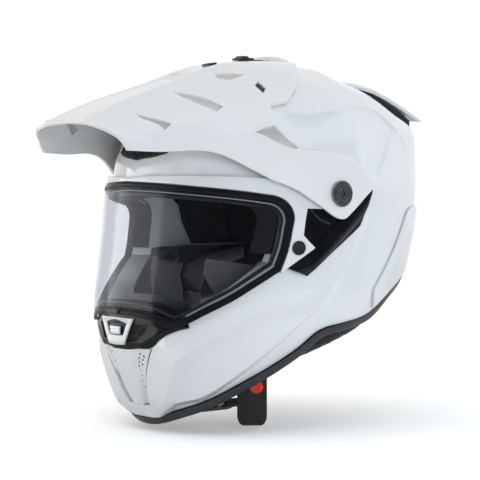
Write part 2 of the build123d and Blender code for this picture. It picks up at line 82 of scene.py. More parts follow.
def offset_levels(d):
    t = LEVELS.copy()
    taus, z, rad = t[:, 0], t[:, 1].copy(), (t[:, 2] + t[:, 3] + 2 * t[:, 4]) / 4
    a = spline(taus, np.stack([z, rad], 1), np.clip(taus - 1e-3, 0, 1))
    b = spline(taus, np.stack([z, rad], 1), np.clip(taus + 1e-3, 0, 1))
    dz, dr = b[:, 0] - a[:, 0], b[:, 1] - a[:, 1]
    n = np.hypot(dz, dr)
    nr, nz = dz / n, -dr / n
    nr[0], nz[0], nr[-1], nz[-1] = 1, 0, 0, 1
    t[:, 1] += d * nz
    for k in (2, 3, 4):
        t[:, k] += d * nr
    return t


_tables = {}


def table(d):
    if d not in _tables:
        _tables[d] = offset_levels(d)
    return _tables[d]


def point(tau, u, tb):
    tau, u = np.broadcast_arrays(np.asarray(tau, float), np.asarray(u, float))
    L = spline(tb[:, 0], tb[:, 1:], tau)
    z, fr, re, w, yw, hf, sf, hr, sr = [L[..., k] for k in range(9)]
    front = u <= 0.5
    t = np.where(front, u * 2, (1 - u) * 2)
    end, hx, s = np.where(front, -fr, re), np.where(front, hf, hr) * w, np.where(front, sf, sr)
    b0, b1, b2, b3 = (1 - t)**3, 3 * t * (1 - t)**2, 3 * t * t * (1 - t), t**3
    return np.stack([b1 * hx + (b2 + b3) * w, (b0 + b1) * end + b2 * (yw + s * (end - yw)) + b3 * yw, z], -1)


# a flat chart of the form: s runs round a level from the front centre, h runs up the profile, both in millimetres
TT = np.linspace(0, 1, 801)
ZT = spline(LEVELS[:, 0], LEVELS[:, 1], TT)
RT = spline(LEVELS[:, 0], (LEVELS[:, 2] + LEVELS[:, 3] + 2 * LEVELS[:, 4]) / 4, TT)
HT = np.concatenate([[0], np.cumsum(np.hypot(np.diff(ZT), np.diff(RT)))])
UU = np.linspace(0, 1, 401)
_ref = point(0.44, UU, LEVELS)
SU = np.concatenate([[0], np.cumsum(np.linalg.norm(np.diff(_ref, axis=0), axis=1))])
S_MAX, H_MAX = SU[-1], HT[-1]


def surf(p, d=0.0):
    """Points of the form, moved out by d, for chart points (s, h)."""
    p = np.asarray(p, float)
    s, h = p[:, 0].copy(), np.clip(p[:, 1], 0, H_MAX)
    over = np.abs(s) > S_MAX
    s = np.where(over, -np.sign(s) * (2 * S_MAX - np.abs(s)), s)
    out = point(np.interp(h, HT, TT), np.interp(np.abs(s), SU, UU), table(d))
    out[:, 0] *= np.where(s < 0, -1, 1)
    return out


def normals(p, d=0.0, e=0.8, f=None):
    f = f or surf
    p = np.asarray(p, float)
    a = f(p + [e, 0], d) - f(p - [e, 0], d)
    b = f(p + [0, e], d) - f(p - [0, e], d)
    n = np.cross(a, b)
    return n / np.maximum(np.linalg.norm(n, axis=1, keepdims=True), 1e-9)


def chart_side(pts, sign=1):
    """Side view points (y, z) to chart points."""
    out = []
    for y, z in pts:
        tau = np.interp(z, ZT, TT)
        ys = point(tau, UU, LEVELS)[:, 1]
        out.append((sign * np.interp(np.interp(y, ys, UU), UU, SU), np.interp(tau, TT, HT)))
    return np.array(out)


def chart_front(pts):
    """Front view points (x, z) to chart points."""
    out = []
    for x, z in pts:
        tau = np.interp(z, ZT, TT)
        m = UU <= 0.5
        xs = point(tau, UU[m], LEVELS)[:, 0]
        out.append((np.sign(x) * np.interp(np.interp(abs(x), xs, UU[m]), UU, SU), np.interp(tau, TT, HT)))
    return np.array(out)


def chart3(pts):
    """3-D points near the form, given with x >= 0, to chart points."""
    out = []
    for x, y, z in pts:
        tau = np.interp(z, ZT, TT)
        g = point(tau, UU, LEVELS)
        k = np.argmin((g[:, 0] - abs(x))**2 + (g[:, 1] - y)**2)
        out.append((SU[k] * (1 if x >= 0 else -1), np.interp(tau, TT, HT)))
    return np.array(out)


def grow(pts, d):
    p = np.array(pts, float)
    area = 0.5 * np.sum(p[:, 0] * np.roll(p[:, 1], -1) - np.roll(p[:, 0], -1) * p[:, 1])
    e = np.roll(p, -1, 0) - p
    e /= np.maximum(np.linalg.norm(e, axis=1, keepdims=True), 1e-9)
    n = np.stack([e[:, 1], -e[:, 0]], 1) * np.sign(area)
    m = np.roll(n, 1, 0) + n
    m /= np.maximum((m * m).sum(1, keepdims=True), 0.5) / 2
    return p + d * m


def smooth(pts, step=2.0, closed=True, corner=38.0):
    """A curve through the points, sharp where it turns by more than corner degrees, sampled about every step."""
    p = np.array(pts, float)
    n = len(p)
    if closed:
        e = np.roll(p, -1, 0) - p
    else:
        e = np.diff(p, axis=0)
    ln = np.maximum(np.linalg.norm(e, axis=1), 1e-9)
    u = e / ln[:, None]
    tin, tout = np.zeros_like(p), np.zeros_like(p)
    for i in range(n):
        if not closed and i in (0, n - 1):
            tin[i] = tout[i] = u[0] if i == 0 else u[-1]
            continue
        a, b = u[i - 1], u[i % len(u)]
        if a @ b < math.cos(math.radians(corner)):
            tin[i], tout[i] = a, b
        else:
            m = a * ln[i % len(ln)] + b * ln[i - 1]
            tin[i] = tout[i] = m / np.linalg.norm(m)
    out = []
    for i in range(n if closed else n - 1):
        j = (i + 1) % n
        k = max(1, int(math.ceil(ln[i] / step)))
        t = np.arange(k)[:, None] / k
        h00, h10, h01, h11 = 2 * t**3 - 3 * t**2 + 1, t**3 - 2 * t**2 + t, -2 * t**3 + 3 * t**2, t**3 - t**2
        out.append(h00 * p[i] + h10 * ln[i] * tout[i] + h01 * p[j] + h11 * ln[i] * tin[j])
    if not closed:
        out.append(p[-1:])
    return np.concatenate(out)


def dense(pts, step=2.0, closed=True):
    return smooth(pts, step, closed, corner=0.001)


def both(half):
    """A closed outline from its half with s >= 0, listed from the centre to the centre."""
    half = np.array(half, float)
    m = half[(half[:, 0] > 1e-6)][::-1] * [-1, 1]
    return np.concatenate([half, m])


def inside(poly, p):
    x, y = p[:, 0], p[:, 1]
    c = np.zeros(len(p), bool)
    q = np.roll(poly, 1, 0)
    for (xi, yi), (xj, yj) in zip(poly, q):
        if yi == yj:
            continue
        c ^= ((yi > y) != (yj > y)) & (x < (xj - xi) * (y - yi) / (yj - yi) + xi)
    return c


def seg_dist(p, line, closed=False, signed=False):
    """Distance to a polyline, the share of the way along it, and optionally which side (positive on the left)."""
    a = np.asarray(line, float)
    b = np.roll(a, -1, 0) if closed else a[1:]
    a = a if closed else a[:-1]
    d = b - a
    ll = np.maximum((d * d).sum(1), 1e-12)
    best, side, along = np.full(len(p), 1e9), np.ones(len(p)), np.zeros(len(p))
    cum = np.concatenate([[0], np.cumsum(np.sqrt(ll))])
    for i in range(len(a)):
        w = p - a[i]
        t = np.clip((w @ d[i]) / ll[i], 0, 1)
        r = w - t[:, None] * d[i]
        q = (r * r).sum(1)
        m = q < best
        best = np.where(m, q, best)
        if signed:
            side = np.where(m, np.sign(d[i, 0] * w[:, 1] - d[i, 1] * w[:, 0]), side)
        along = np.where(m, cum[i] + t * math.sqrt(ll[i]), along)
    dist = np.sqrt(best)
    return (dist * side if signed else dist), along / cum[-1]


def sstep(x, a=0.0, b=1.0):
    t = np.clip((np.asarray(x, float) - a) / (b - a), 0, 1)
    return t * t * (3 - 2 * t)


# ------------------------------------------------------------------ pieces
def new_object(name, verts, faces, mat, body="helmet", node=(), sharp=50.0, mats=None, index=None):
    me = bpy.data.meshes.new(name)
    me.from_pydata([tuple(v) for v in np.asarray(verts, float) * MM], [], [tuple(int(i) for i in f) for f in faces])
    me.validate()
    me.polygons.foreach_set("use_smooth", [True] * len(me.polygons))
    if sharp:
        me.set_sharp_from_angle(angle=math.radians(sharp))
    o = bpy.data.objects.new(name, me)
    bpy.context.scene.collection.objects.link(o)
    for m in (mats or [mat]):
        me.materials.append(m)
    if index is not None:
        me.polygons.foreach_set("material_index", [int(i) for i in index][:len(me.polygons)])
    me.update()
    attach(o, body)
    if node:
        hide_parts(*([node] if isinstance(node, str) else node))
    return o


def triangulate(outer, holes=(), rim=0.5, step=2.5, feats=(), rings=(0.12, 0.4, 1.0), axis_open=None):
    loops = [np.asarray(outer, float)] + [np.asarray(h, float) for h in holes]
    pts, edges = [], []
    n = 0
    for lp in loops:
        pts.append(lp)
        edges += [(n + i, n + (i + 1) % len(lp)) for i in range(len(lp))]
        n += len(lp)
    allb = np.concatenate([np.concatenate([lp, lp[:1], [[np.nan, np.nan]]]) for lp in loops])

    def bdist(p):
        d = np.full(len(p), 1e9)
        for lp in loops:
            d = np.minimum(d, seg_dist(p, lp, closed=True)[0])
        return d

    def ok(p):
        m = inside(loops[0], p)
        for h in loops[1:]:
            m &= ~inside(h, p)
        return m

    extra = []
    for q in rings if rim > 0 else ():
        for k, lp in enumerate(loops):
            g = grow(lp, -q * rim if k == 0 else q * rim)
            g = g[ok(g)]
            if len(g):
                extra.append(g[bdist(g) > 0.7 * q * rim])
    for line, offs in feats:
        line = np.asarray(line, float)
        t = np.gradient(line, axis=0)
        t /= np.maximum(np.linalg.norm(t, axis=1, keepdims=True), 1e-9)
        nn = np.stack([-t[:, 1], t[:, 0]], 1)
        for of in offs:
            g = line + nn * of
            g = g[ok(g)]
            if len(g):
                extra.append(g[bdist(g) > max(rim, 0.3) * 1.05])
    lo, hi = loops[0].min(0), loops[0].max(0)
    gy = np.arange(lo[1] + 0.37 * step, hi[1], step * 0.87)
    rows = [np.stack([np.arange(lo[0] + (0.5 * step if i % 2 else 0.03), hi[0], step), np.full(len(np.arange(lo[0] + (0.5 * step if i % 2 else 0.03), hi[0], step)), y)], 1) for i, y in enumerate(gy)]
    grid = np.concatenate(rows)
    grid = grid[ok(grid)]
    grid = grid[bdist(grid) > rim + 0.45 * step]
    for line, offs in feats:
        w = max(abs(min(offs)), abs(max(offs))) + 0.4 * step
        grid = grid[seg_dist(grid, line)[0] > w]
    allp = np.concatenate(pts + extra + [grid])
    res = delaunay_2d_cdt([Vector(v) for v in allp.tolist()], edges, [], 0, 1e-4, False)
    v = np.array([list(q) for q in res[0]], float)
    f = np.array(res[2], int)
    c = v[f].mean(1)
    f = f[ok(c)]
    a, b, cc = v[f[:, 0]], v[f[:, 1]], v[f[:, 2]]
    ar = (b[:, 0] - a[:, 0]) * (cc[:, 1] - a[:, 1]) - (b[:, 1] - a[:, 1]) * (cc[:, 0] - a[:, 0])
    f = f[np.abs(ar) > 1e-7]
    ar = ar[np.abs(ar) > 1e-7]
    f[ar < 0] = f[ar < 0][:, ::-1]
    used = np.unique(f)
    back = -np.ones(len(v), int)
    back[used] = np.arange(len(used))
    return v[used], back[f], bdist(v[used])


def rim_drop(dist, rim):
    if rim <= 0:
        return np.zeros_like(dist)
    q = np.clip(rim - dist, 0, rim)
    return rim - np.sqrt(np.maximum(rim * rim - q * q, 0))


def build_patch(outer, holes=(), d=0.0, thick=2.0, rim=0.5, step=2.5, disp=None, feats=(), back=True, inward=False, f=None, keep_open=None, rings=(0.12, 0.4, 1.0), backdisp=False):
    """A panel of the form between two offsets: vertices in millimetres, faces, the chart position of each outer vertex."""
    f = f or surf
    v, tri, dist = triangulate(outer, holes, rim, step, feats, rings)
    n = normals(v, d, f=f)
    base = f(v, d)
    if keep_open is not None:
        free = keep_open(v)
        dist = np.where(free, 1e3, dist)
    sgn = -1.0 if inward else 1.0
    lift = (disp(v, base) if disp is not None else 0.0) - rim_drop(dist, rim)
    top = base + n * (sgn * lift)[:, None]
    if not back:
        return top, (tri[:, ::-1] if inward else tri), v, len(v)
    bl = disp(v, base) * backdisp if (disp is not None and backdisp) else 0.0
    under = base - n * (sgn * (thick - bl))[:, None] if not np.isscalar(bl) else base - n * (sgn * thick)
    e = np.sort(np.concatenate([tri[:, [0, 1]], tri[:, [1, 2]], tri[:, [2, 0]]]), 1)
    eu, idx, cnt = np.unique(e, axis=0, return_index=True, return_counts=True)
    directed = np.concatenate([tri[:, [0, 1]], tri[:, [1, 2]], tri[:, [2, 0]]])[idx[cnt == 1]]
    N = len(v)
    walls = [(a, a + N, b + N, b) for a, b in directed]
    faces = [tuple(t) for t in tri] + [tuple(t[::-1] + N) for t in tri] + walls
    if inward:
        faces = [q[::-1] for q in faces]
    return np.concatenate([top, under]), faces, v, N


def patch(name, outer, mat, holes=(), d=0.0, thick=2.0, rim=0.5, step=2.5, disp=None, feats=(), body="helmet", node=(), inward=False, sharp=50.0, f=None, rings=(0.12, 0.4, 1.0), backdisp=False, mirror=False, back=True):
    verts, faces, v, N = build_patch(outer, holes, d, thick, rim, step, disp, feats, back, inward, f, None, rings, backdisp)
    if mirror:
        m = verts * [-1, 1, 1]
        k = len(verts)
        faces = list(faces) + [tuple(i + k for i in q)[::-1] for q in faces]
        verts = np.concatenate([verts, m])
    return new_object(name, verts, faces, mat, body, node, sharp)


def flipped(verts, faces):
    return np.asarray(verts) * [-1, 1, 1], [tuple(q)[::-1] for q in faces]


def lathe(profile, seg=64):
    """Rings about +X from a profile of (x, r) points, closed at both ends where r is 0."""
    verts, faces = [], []
    ang = np.arange(seg) * 2 * math.pi / seg
    idx = []
    for x, r in profile:
        if r < 1e-6:
            idx.append([len(verts)] * seg)
            verts.append((x, 0, 0))
        else:
            idx.append(list(range(len(verts), len(verts) + seg)))
            verts += [(x, r * math.cos(a), r * math.sin(a)) for a in ang]
    for a, b in zip(idx[:-1], idx[1:]):
        for i in range(seg):
            j = (i + 1) % seg
            q = [a[i], a[j], b[j], b[i]]
            q = [q[k] for k in range(4) if q[k] != q[k - 1]]
            if len(q) >= 3:
                faces.append(tuple(q))
    return np.array(verts, float), faces


def frame_axes(n, up=(0, 0, 1)):
    n = np.array(n, float) / np.linalg.norm(n)
    a = np.cross(up, n)
    a /= np.linalg.norm(a)
    return np.stack([n, a, np.cross(n, a)], 0)      # rows: local x, y, z


def loft(rings, closed_ring=True, caps=True):
    """A skin over equal-length rings of points."""
    rings = [np.asarray(r, float) for r in rings]
    k = len(rings[0])
    verts = np.concatenate(rings)
    faces = []
    for i in range(len(rings) - 1):
        for j in range(k if closed_ring else k - 1):
            a, b = i * k + j, i * k + (j + 1) % k
            faces.append((a, b, b + k, a + k))
    if caps and closed_ring:
        faces.append(tuple(range(k))[::-1])
        faces.append(tuple(range((len(rings) - 1) * k, len(rings) * k)))
    return verts, faces


def section(w, t, r, k=4):
    """A rounded rectangle of width w and thickness t, as (across, up) points."""
    out = []
    for cx, cy, a0 in ((w / 2 - r, t / 2 - r, 0), (-w / 2 + r, t / 2 - r, 90), (-w / 2 + r, -t / 2 + r, 180), (w / 2 - r, -t / 2 + r, 270)):
        for a in np.linspace(a0, a0 + 90, k):
            out.append((cx + r * math.cos(math.radians(a)), cy + r * math.sin(math.radians(a))))
    return np.array(out)


def join(parts):
    verts, faces, n = [], [], 0
    for v, f in parts:
        verts.append(np.asarray(v, float))
        faces += [tuple(int(i) + n for i in q) for q in f]
        n += len(v)
    return np.concatenate(verts), faces


# ------------------------------------------------------------------ materials
def material(name, color, rough=0.3, metal=0.0, coat=0.0, coat_rough=0.03, sheen=0.0, spec=0.5, build=None):
    m = bpy.data.materials.new(name)
    m.use_nodes = True
    nt = m.node_tree
    b = nt.nodes["Principled BSDF"]
    b.inputs["Base Color"].default_value = (*color, 1)
    b.inputs["Roughness"].default_value = rough
    b.inputs["Metallic"].default_value = metal
    b.inputs["Coat Weight"].default_value = coat
    b.inputs["Coat Roughness"].default_value = coat_rough
    b.inputs["Sheen Weight"].default_value = sheen
    b.inputs["Specular IOR Level"].default_value = spec
    if build:
        build(nt, b)
    return m


def N(nt, kind, **kw):
    n = nt.nodes.new(kind)
    for k, v in kw.items():
        if k in n.inputs:
            n.inputs[k].default_value = v
        else:
            setattr(n, k, v)
    return n


def coords(nt, scale=(1, 1, 1), rot=(0, 0, 0)):
    t = N(nt, "ShaderNodeTexCoord")
    m = N(nt, "ShaderNodeMapping")
    m.inputs["Scale"].default_value = scale
    m.inputs["Rotation"].default_value = rot
    nt.links.new(t.outputs["Object"], m.inputs["Vector"])
    return m.outputs["Vector"]


def ramp(nt, fac, stops):
    r = N(nt, "ShaderNodeValToRGB")
    r.color_ramp.elements[0].position, r.color_ramp.elements[0].color = stops[0][0], (*stops[0][1], 1)
    r.color_ramp.elements[1].position, r.color_ramp.elements[1].color = stops[-1][0], (*stops[-1][1], 1)
    for p, c in stops[1:-1]:
        e = r.color_ramp.elements.new(p)
        e.color = (*c, 1)
    nt.links.new(fac, r.inputs["Fac"])
    return r.outputs["Color"]


def bump(nt, b, height, strength, dist):
    n = N(nt, "ShaderNodeBump")
    n.inputs["Strength"].default_value = strength
    n.inputs["Distance"].default_value = dist
    nt.links.new(height, n.inputs["Height"])
    nt.links.new(n.outputs["Normal"], b.inputs["Normal"])


def rough_from(nt, b, fac, lo, hi):
    m = N(nt, "ShaderNodeMapRange")
    m.inputs["To Min"].default_value, m.inputs["To Max"].default_value = lo, hi
    nt.links.new(fac, m.inputs["Value"])
    nt.links.new(m.outputs["Result"], b.inputs["Roughness"])


def paint(base, rough=0.10, flake=0.0):
    def build(nt, b):
        v = coords(nt)
        big = N(nt, "ShaderNodeTexNoise", Scale=9.0, Detail=3.0)
        fine = N(nt, "ShaderNodeTexNoise", Scale=420.0, Detail=2.0)
        for n in (big, fine):
            nt.links.new(v, n.inputs["Vector"])
        lo = tuple(c * 0.985 for c in base)
        nt.links.new(ramp(nt, big.outputs["Fac"], [(0.3, lo), (0.7, base)]), b.inputs["Base Color"])
        rough_from(nt, b, big.outputs["Fac"], rough, rough + 0.05)
        bump(nt, b, fine.outputs["Fac"], 0.04, 0.0004)
    return build


def moulded(base, scale=900.0, strength=0.25, rough=(0.42, 0.58)):
    def build(nt, b):
        v = coords(nt)
        n1 = N(nt, "ShaderNodeTexNoise", Scale=scale, Detail=3.0)
        n2 = N(nt, "ShaderNodeTexNoise", Scale=22.0, Detail=4.0)
        for n in (n1, n2):
            nt.links.new(v, n.inputs["Vector"])
        hi = tuple(min(1, c * 1.35 + 0.004) for c in base)
        nt.links.new(ramp(nt, n2.outputs["Fac"], [(0.35, base), (0.72, hi)]), b.inputs["Base Color"])
        rough_from(nt, b, n2.outputs["Fac"], *rough)
        bump(nt, b, n1.outputs["Fac"], strength, 0.0005)
    return build


def knit(base, light, scale=520.0):
    """A fine knitted mesh: rows of small cells with a slight heather."""
    def build(nt, b):
        v = coords(nt)
        vo = N(nt, "ShaderNodeTexVoronoi", Scale=scale)
        no = N(nt, "ShaderNodeTexNoise", Scale=60.0, Detail=5.0)
        for n in (vo, no):
            nt.links.new(v, n.inputs["Vector"])
        mix = N(nt, "ShaderNodeMath", operation="MULTIPLY")
        nt.links.new(vo.outputs["Distance"], mix.inputs[0])
        nt.links.new(no.outputs["Fac"], mix.inputs[1])
        nt.links.new(ramp(nt, mix.outputs["Value"], [(0.05, light), (0.38, base)]), b.inputs["Base Color"])
        bump(nt, b, vo.outputs["Distance"], 0.55, 0.0012)
    return build


def airmesh(base, light, scale=300.0):
    """An open spacer mesh with round holes."""
    def build(nt, b):
        v = coords(nt)
        vo = N(nt, "ShaderNodeTexVoronoi", Scale=scale, Randomness=0.25)
        no = N(nt, "ShaderNodeTexNoise", Scale=35.0, Detail=4.0)
        for n in (vo, no):
            nt.links.new(v, n.inputs["Vector"])
        nt.links.new(ramp(nt, vo.outputs["Distance"], [(0.22, base), (0.42, light), (0.7, tuple(c * 0.8 for c in light))]), b.inputs["Base Color"])
        rough_from(nt, b, no.outputs["Fac"], 0.75, 0.95)
        bump(nt, b, vo.outputs["Distance"], 0.8, 0.0016)
    return build


def foam(base, light):
    """Bead foam: light inner faces, with painted shade that turns the cut edges and brow near-black."""
    def build(nt, b):
        v = coords(nt)
        vo = N(nt, "ShaderNodeTexVoronoi", Scale=330.0)
        no = N(nt, "ShaderNodeTexNoise", Scale=18.0, Detail=4.0)
        for n in (vo, no):
            nt.links.new(v, n.inputs["Vector"])
        # painted shade: faces that do not turn in towards the centre line, such as cut edges and the brow, are mixed to
        # near-black in place of their shade
        ge = N(nt, "ShaderNodeNewGeometry")
        sp = N(nt, "ShaderNodeSeparateXYZ")
        nt.links.new(ge.outputs["True Normal"], sp.inputs["Vector"])
        mr = N(nt, "ShaderNodeMapRange")
        for k_, x_ in (("From Min", -0.030), ("From Max", -0.016), ("To Min", 1.0), ("To Max", 0.0)):
            mr.inputs[k_].default_value = x_
        sq = N(nt, "ShaderNodeSeparateXYZ")
        nt.links.new(ge.outputs["Position"], sq.inputs["Vector"])
        pr = N(nt, "ShaderNodeMath", operation="MULTIPLY")
        nt.links.new(sp.outputs["X"], pr.inputs[0])
        nt.links.new(sq.outputs["X"], pr.inputs[1])
        nt.links.new(pr.outputs["Value"], mr.inputs["Value"])
        mx = N(nt, "ShaderNodeMix", data_type="RGBA")
        # the near-black colour of the painted shade
        mx.inputs[6].default_value = (0.006, 0.006, 0.007, 1)
        nt.links.new(mr.outputs["Result"], mx.inputs[0])
        nt.links.new(ramp(nt, vo.outputs["Distance"], [(0.1, light), (0.75, base)]), mx.inputs[7])
        nt.links.new(mx.outputs[2], b.inputs["Base Color"])
        bump(nt, b, vo.outputs["Distance"], 0.03, 0.0003)
    return build


def webbing(base, light, rot):
    """Woven strap: ribs across and fine yarns along."""
    def build(nt, b):
        v = coords(nt, rot=rot)
        w1 = N(nt, "ShaderNodeTexWave", Scale=270.0, Distortion=0.4)
        w1.bands_direction = "Z"
        w2 = N(nt, "ShaderNodeTexWave", Scale=190.0, Distortion=0.6)
        w2.bands_direction = "X"
        no = N(nt, "ShaderNodeTexNoise", Scale=120.0, Detail=4.0)
        for n in (w1, w2, no):
            nt.links.new(v, n.inputs["Vector"])
        mx = N(nt, "ShaderNodeMath", operation="MULTIPLY")
        nt.links.new(w1.outputs["Fac"], mx.inputs[0])
        nt.links.new(w2.outputs["Fac"], mx.inputs[1])
        ad = N(nt, "ShaderNodeMath", operation="ADD")
        nt.links.new(mx.outputs["Value"], ad.inputs[0])
        nt.links.new(no.outputs["Fac"], ad.inputs[1])
        nt.links.new(ramp(nt, ad.outputs["Value"], [(0.45, base), (1.2 / 1.3, light)]), b.inputs["Base Color"])
        bump(nt, b, mx.outputs["Value"], 0.3, 0.0005)
    return build


def metal_build(base, scale=260.0):
    def build(nt, b):
        v = coords(nt)
        n1 = N(nt, "ShaderNodeTexNoise", Scale=scale, Detail=5.0)
        nt.links.new(v, n1.inputs["Vector"])
        hi = tuple(min(1, c * 1.3) for c in base)
        nt.links.new(ramp(nt, n1.outputs["Fac"], [(0.35, base), (0.7, hi)]), b.inputs["Base Color"])
        rough_from(nt, b, n1.outputs["Fac"], 0.24, 0.42)
        bump(nt, b, n1.outputs["Fac"], 0.15, 0.0003)
    return build


def lens_material():
    m = bpy.data.materials.new("lens_clear")
    m.use_nodes = True
    nt = m.node_tree
    b = nt.nodes["Principled BSDF"]
    out = nt.nodes["Material Output"]
    b.inputs["Base Color"].default_value = (0.92, 0.935, 1.0, 1)
    b.inputs["Metallic"].default_value = 1.0
    b.inputs["Roughness"].default_value = 0.04
    t = N(nt, "ShaderNodeBsdfTransparent")
    t.inputs["Color"].default_value = (0.90, 0.915, 0.93, 1)
    lw = N(nt, "ShaderNodeLayerWeight", Blend=0.5)
    pw = N(nt, "ShaderNodeMath", operation="POWER")
    pw.inputs[1].default_value = 4.5
    nt.links.new(lw.outputs["Facing"], pw.inputs[0])
    fr = N(nt, "ShaderNodeMapRange")
    fr.inputs["To Min"].default_value, fr.inputs["To Max"].default_value = 0.012, 0.62
    nt.links.new(pw.outputs["Value"], fr.inputs["Value"])
    no = N(nt, "ShaderNodeTexNoise", Scale=6.0, Detail=2.0)
    v = coords(nt)
    nt.links.new(v, no.inputs["Vector"])
    rough_from(nt, b, no.outputs["Fac"], 0.03, 0.06)
    mx = N(nt, "ShaderNodeMixShader")
    nt.links.new(fr.outputs["Result"], mx.inputs["Fac"])
    nt.links.new(t.outputs["BSDF"], mx.inputs[1])
    nt.links.new(b.outputs["BSDF"], mx.inputs[2])
    nt.links.new(mx.outputs["Shader"], out.inputs["Surface"])
    return m


WHITE = (0.70, 0.715, 0.735)
M = {
    "white": material("white_gloss_paint", WHITE, 0.12, coat=0.7, build=paint(WHITE)),
    "peakwhite": material("white_peak_plastic", (0.73, 0.732, 0.735), 0.2, coat=0.45, coat_rough=0.08, build=paint((0.73, 0.732, 0.735), 0.2)),
    "gloss": material("black_gloss_plastic", (0.006, 0.006, 0.007), 0.1, coat=0.0, spec=0.22, build=moulded((0.005, 0.005, 0.006), 300.0, 0.03, (0.09, 0.16))),
    "border": material("black_shield_border", (0.006, 0.006, 0.007), 0.2, spec=0.16, build=moulded((0.005, 0.005, 0.006), 300.0, 0.03, (0.16, 0.24))),
    # the slot floors' grey-beige is painted shade, darker than the peak to stand in for the shade inside its recesses
    "slotfloor_painted_shade": material("peak_recess_painted_shade", (0.50, 0.485, 0.46), 0.45, build=moulded((0.47, 0.455, 0.43), 500.0, 0.06, (0.35, 0.5))),
    "satin": material("black_satin_plastic", (0.02, 0.02, 0.022), 0.45, build=moulded((0.017, 0.017, 0.019))),
    # near-black painted shade for the eye port's cut edge
    "skirt": material("port_edge_painted_shade", (0.02, 0.02, 0.021), 0.8, build=moulded((0.012, 0.012, 0.013), 700.0, 0.3, (0.7, 0.85))),
    "rubber": material("black_rubber", (0.012, 0.012, 0.013), 0.5, build=moulded((0.011, 0.011, 0.012), 600.0, 0.2, (0.38, 0.55))),
    "trim": material("edge_trim_rubber", (0.02, 0.021, 0.024), 0.4, build=moulded((0.022, 0.023, 0.026), 700.0, 0.15, (0.30, 0.42))),
    "silver": material("light_grey_plastic", (0.60, 0.61, 0.62), 0.3, coat=0.3, build=moulded((0.56, 0.57, 0.58), 500.0, 0.05, (0.22, 0.3))),
    # the foam finish paints near-black shade on cut edges and the brow
    "foam": material("grey_foam_painted_shade", (0.5, 0.5, 0.5), 0.9, build=foam((0.56, 0.552, 0.54), (0.60, 0.592, 0.58))),
    "knit": material("knit_fabric", (0.045, 0.045, 0.05), 0.9, sheen=0.25, build=knit((0.005, 0.005, 0.006), (0.022, 0.0215, 0.024))),
    "knit2": material("knit_fabric_pad", (0.03, 0.03, 0.032), 0.9, sheen=0.25, build=knit((0.014, 0.0135, 0.015), (0.045, 0.043, 0.047), 700.0)),
    "mesh": material("air_mesh_fabric", (0.06, 0.06, 0.065), 0.9, sheen=0.2, build=airmesh((0.095, 0.088, 0.095), (0.150, 0.140, 0.151), 900.0)),
    "suede": material("brushed_fabric", (0.10, 0.10, 0.105), 0.95, sheen=0.6, build=knit((0.075, 0.073, 0.076), (0.15, 0.147, 0.15), 1400.0)),
    "leatherette": material("black_leatherette", (0.012, 0.012, 0.013), 0.5, build=moulded((0.012, 0.012, 0.013), 420.0, 0.5, (0.45, 0.6))),
    "webbing": material("woven_webbing", (0.012, 0.012, 0.013), 0.55, sheen=0.1, build=webbing((0.009, 0.009, 0.010), (0.022, 0.022, 0.024), (0, 0, math.radians(-51)))),
    "webbing_r": material("woven_webbing_cross", (0.012, 0.012, 0.013), 0.85, sheen=0.2, build=webbing((0.009, 0.009, 0.010), (0.022, 0.022, 0.024), (0, 0, math.radians(90)))),
    "titan": material("dark_anodised", (0.13, 0.13, 0.135), 0.35, metal=0.9, build=metal_build((0.17, 0.17, 0.175))),
    "steel": material("zinc_plated", (0.55, 0.55, 0.56), 0.35, metal=1.0, build=metal_build((0.5, 0.5, 0.51))),
    "gold": material("gold_plating", (0.85, 0.55, 0.16), 0.28, metal=1.0, build=metal_build((0.80, 0.50, 0.14), 90.0)),
    "red": material("red_plastic", (0.62, 0.035, 0.01), 0.35, coat=0.2, build=moulded((0.60, 0.030, 0.008), 500.0, 0.08, (0.3, 0.4))),
    "lens": lens_material(),
}

# ------------------------------------------------------------------ outlines
LENS3 = [(0, -131.2, 10.3), (22, -128.4, 9.6), (43.1, -122, 8.5), (71.2, -105.4, 5.9), (100.8, -75.4, 1.6), (109.5, -61.5, -0.6), (113.7, -55, -1.8), (118.5, -45.6, -7.8), (121.1, -39.8, -19), (120.4, -41.5, -30.2),
         (118.5, -45.5, -49), (115.9, -51.1, -66.2), (107.3, -69.6, -78.7), (96.8, -87.5, -91.4), (84.4, -103.9, -101.6), (70, -117.5, -111.5), (66.9, -120.6, -113.4), (63, -123.6, -115.0), (58.3, -127, -114.9), (42.2, -136.5, -108.6),
         (22, -143.3, -105.2), (9.7, -145.3, -104.8), (0, -145.6, -104.7)]
LENS_H = chart3(LENS3)
LENS_H[0, 0] = LENS_H[-1, 0] = 0.0
LENS_C = both(LENS_H)                     # coarse outline of the shield's border, whole


def lens_loop(d, step=2.0):
    return smooth(grow(LENS_C, d), step, True, 34.0)


PORT_D = -8.0
BOTTOM = [(-200, -199.4), (-112, -198.8), (-103.5, -190.4), (-90.2, -181.5), (-69.5, -166.1), (-48.1, -152.1), (-22.2, -135), (-3, -121.4), (26.9, -115.4), (62.6, -107.7),
          (96.3, -89.5), (122, -79), (150, -73), (215, -70)]
CHIN_HOUSING = [(0, -104.2), (24, -104.6), (43, -107.6), (57, -113.2), (66, -113.0), (66.5, -114.6), (59.3, -117), (44.6, -125.2), (38.7, -130.8), (34.6, -133.6), (15.5, -134.8), (0, -135.6)]
CHIN_PANEL = [(0, -136.6), (34.8, -134.6), (24.2, -156.6), (14.6, -186.6), (0, -187.6)]
BEZEL = [(0, -107.4), (22.5, -107.8), (10.5, -131.2), (0, -131.6)]
PENTAGON = [(0, -109.6), (15.0, -112.4), (10.0, -122.9), (0, -123.2)]
BUTTON = [(0, -115.2), (7.0, -115.2), (6.0, -122.2), (0, -122.2)]
MESH = [(19.5, -112.6), (31.8, -115.0), (24.2, -127.6), (11.6, -128.4)]
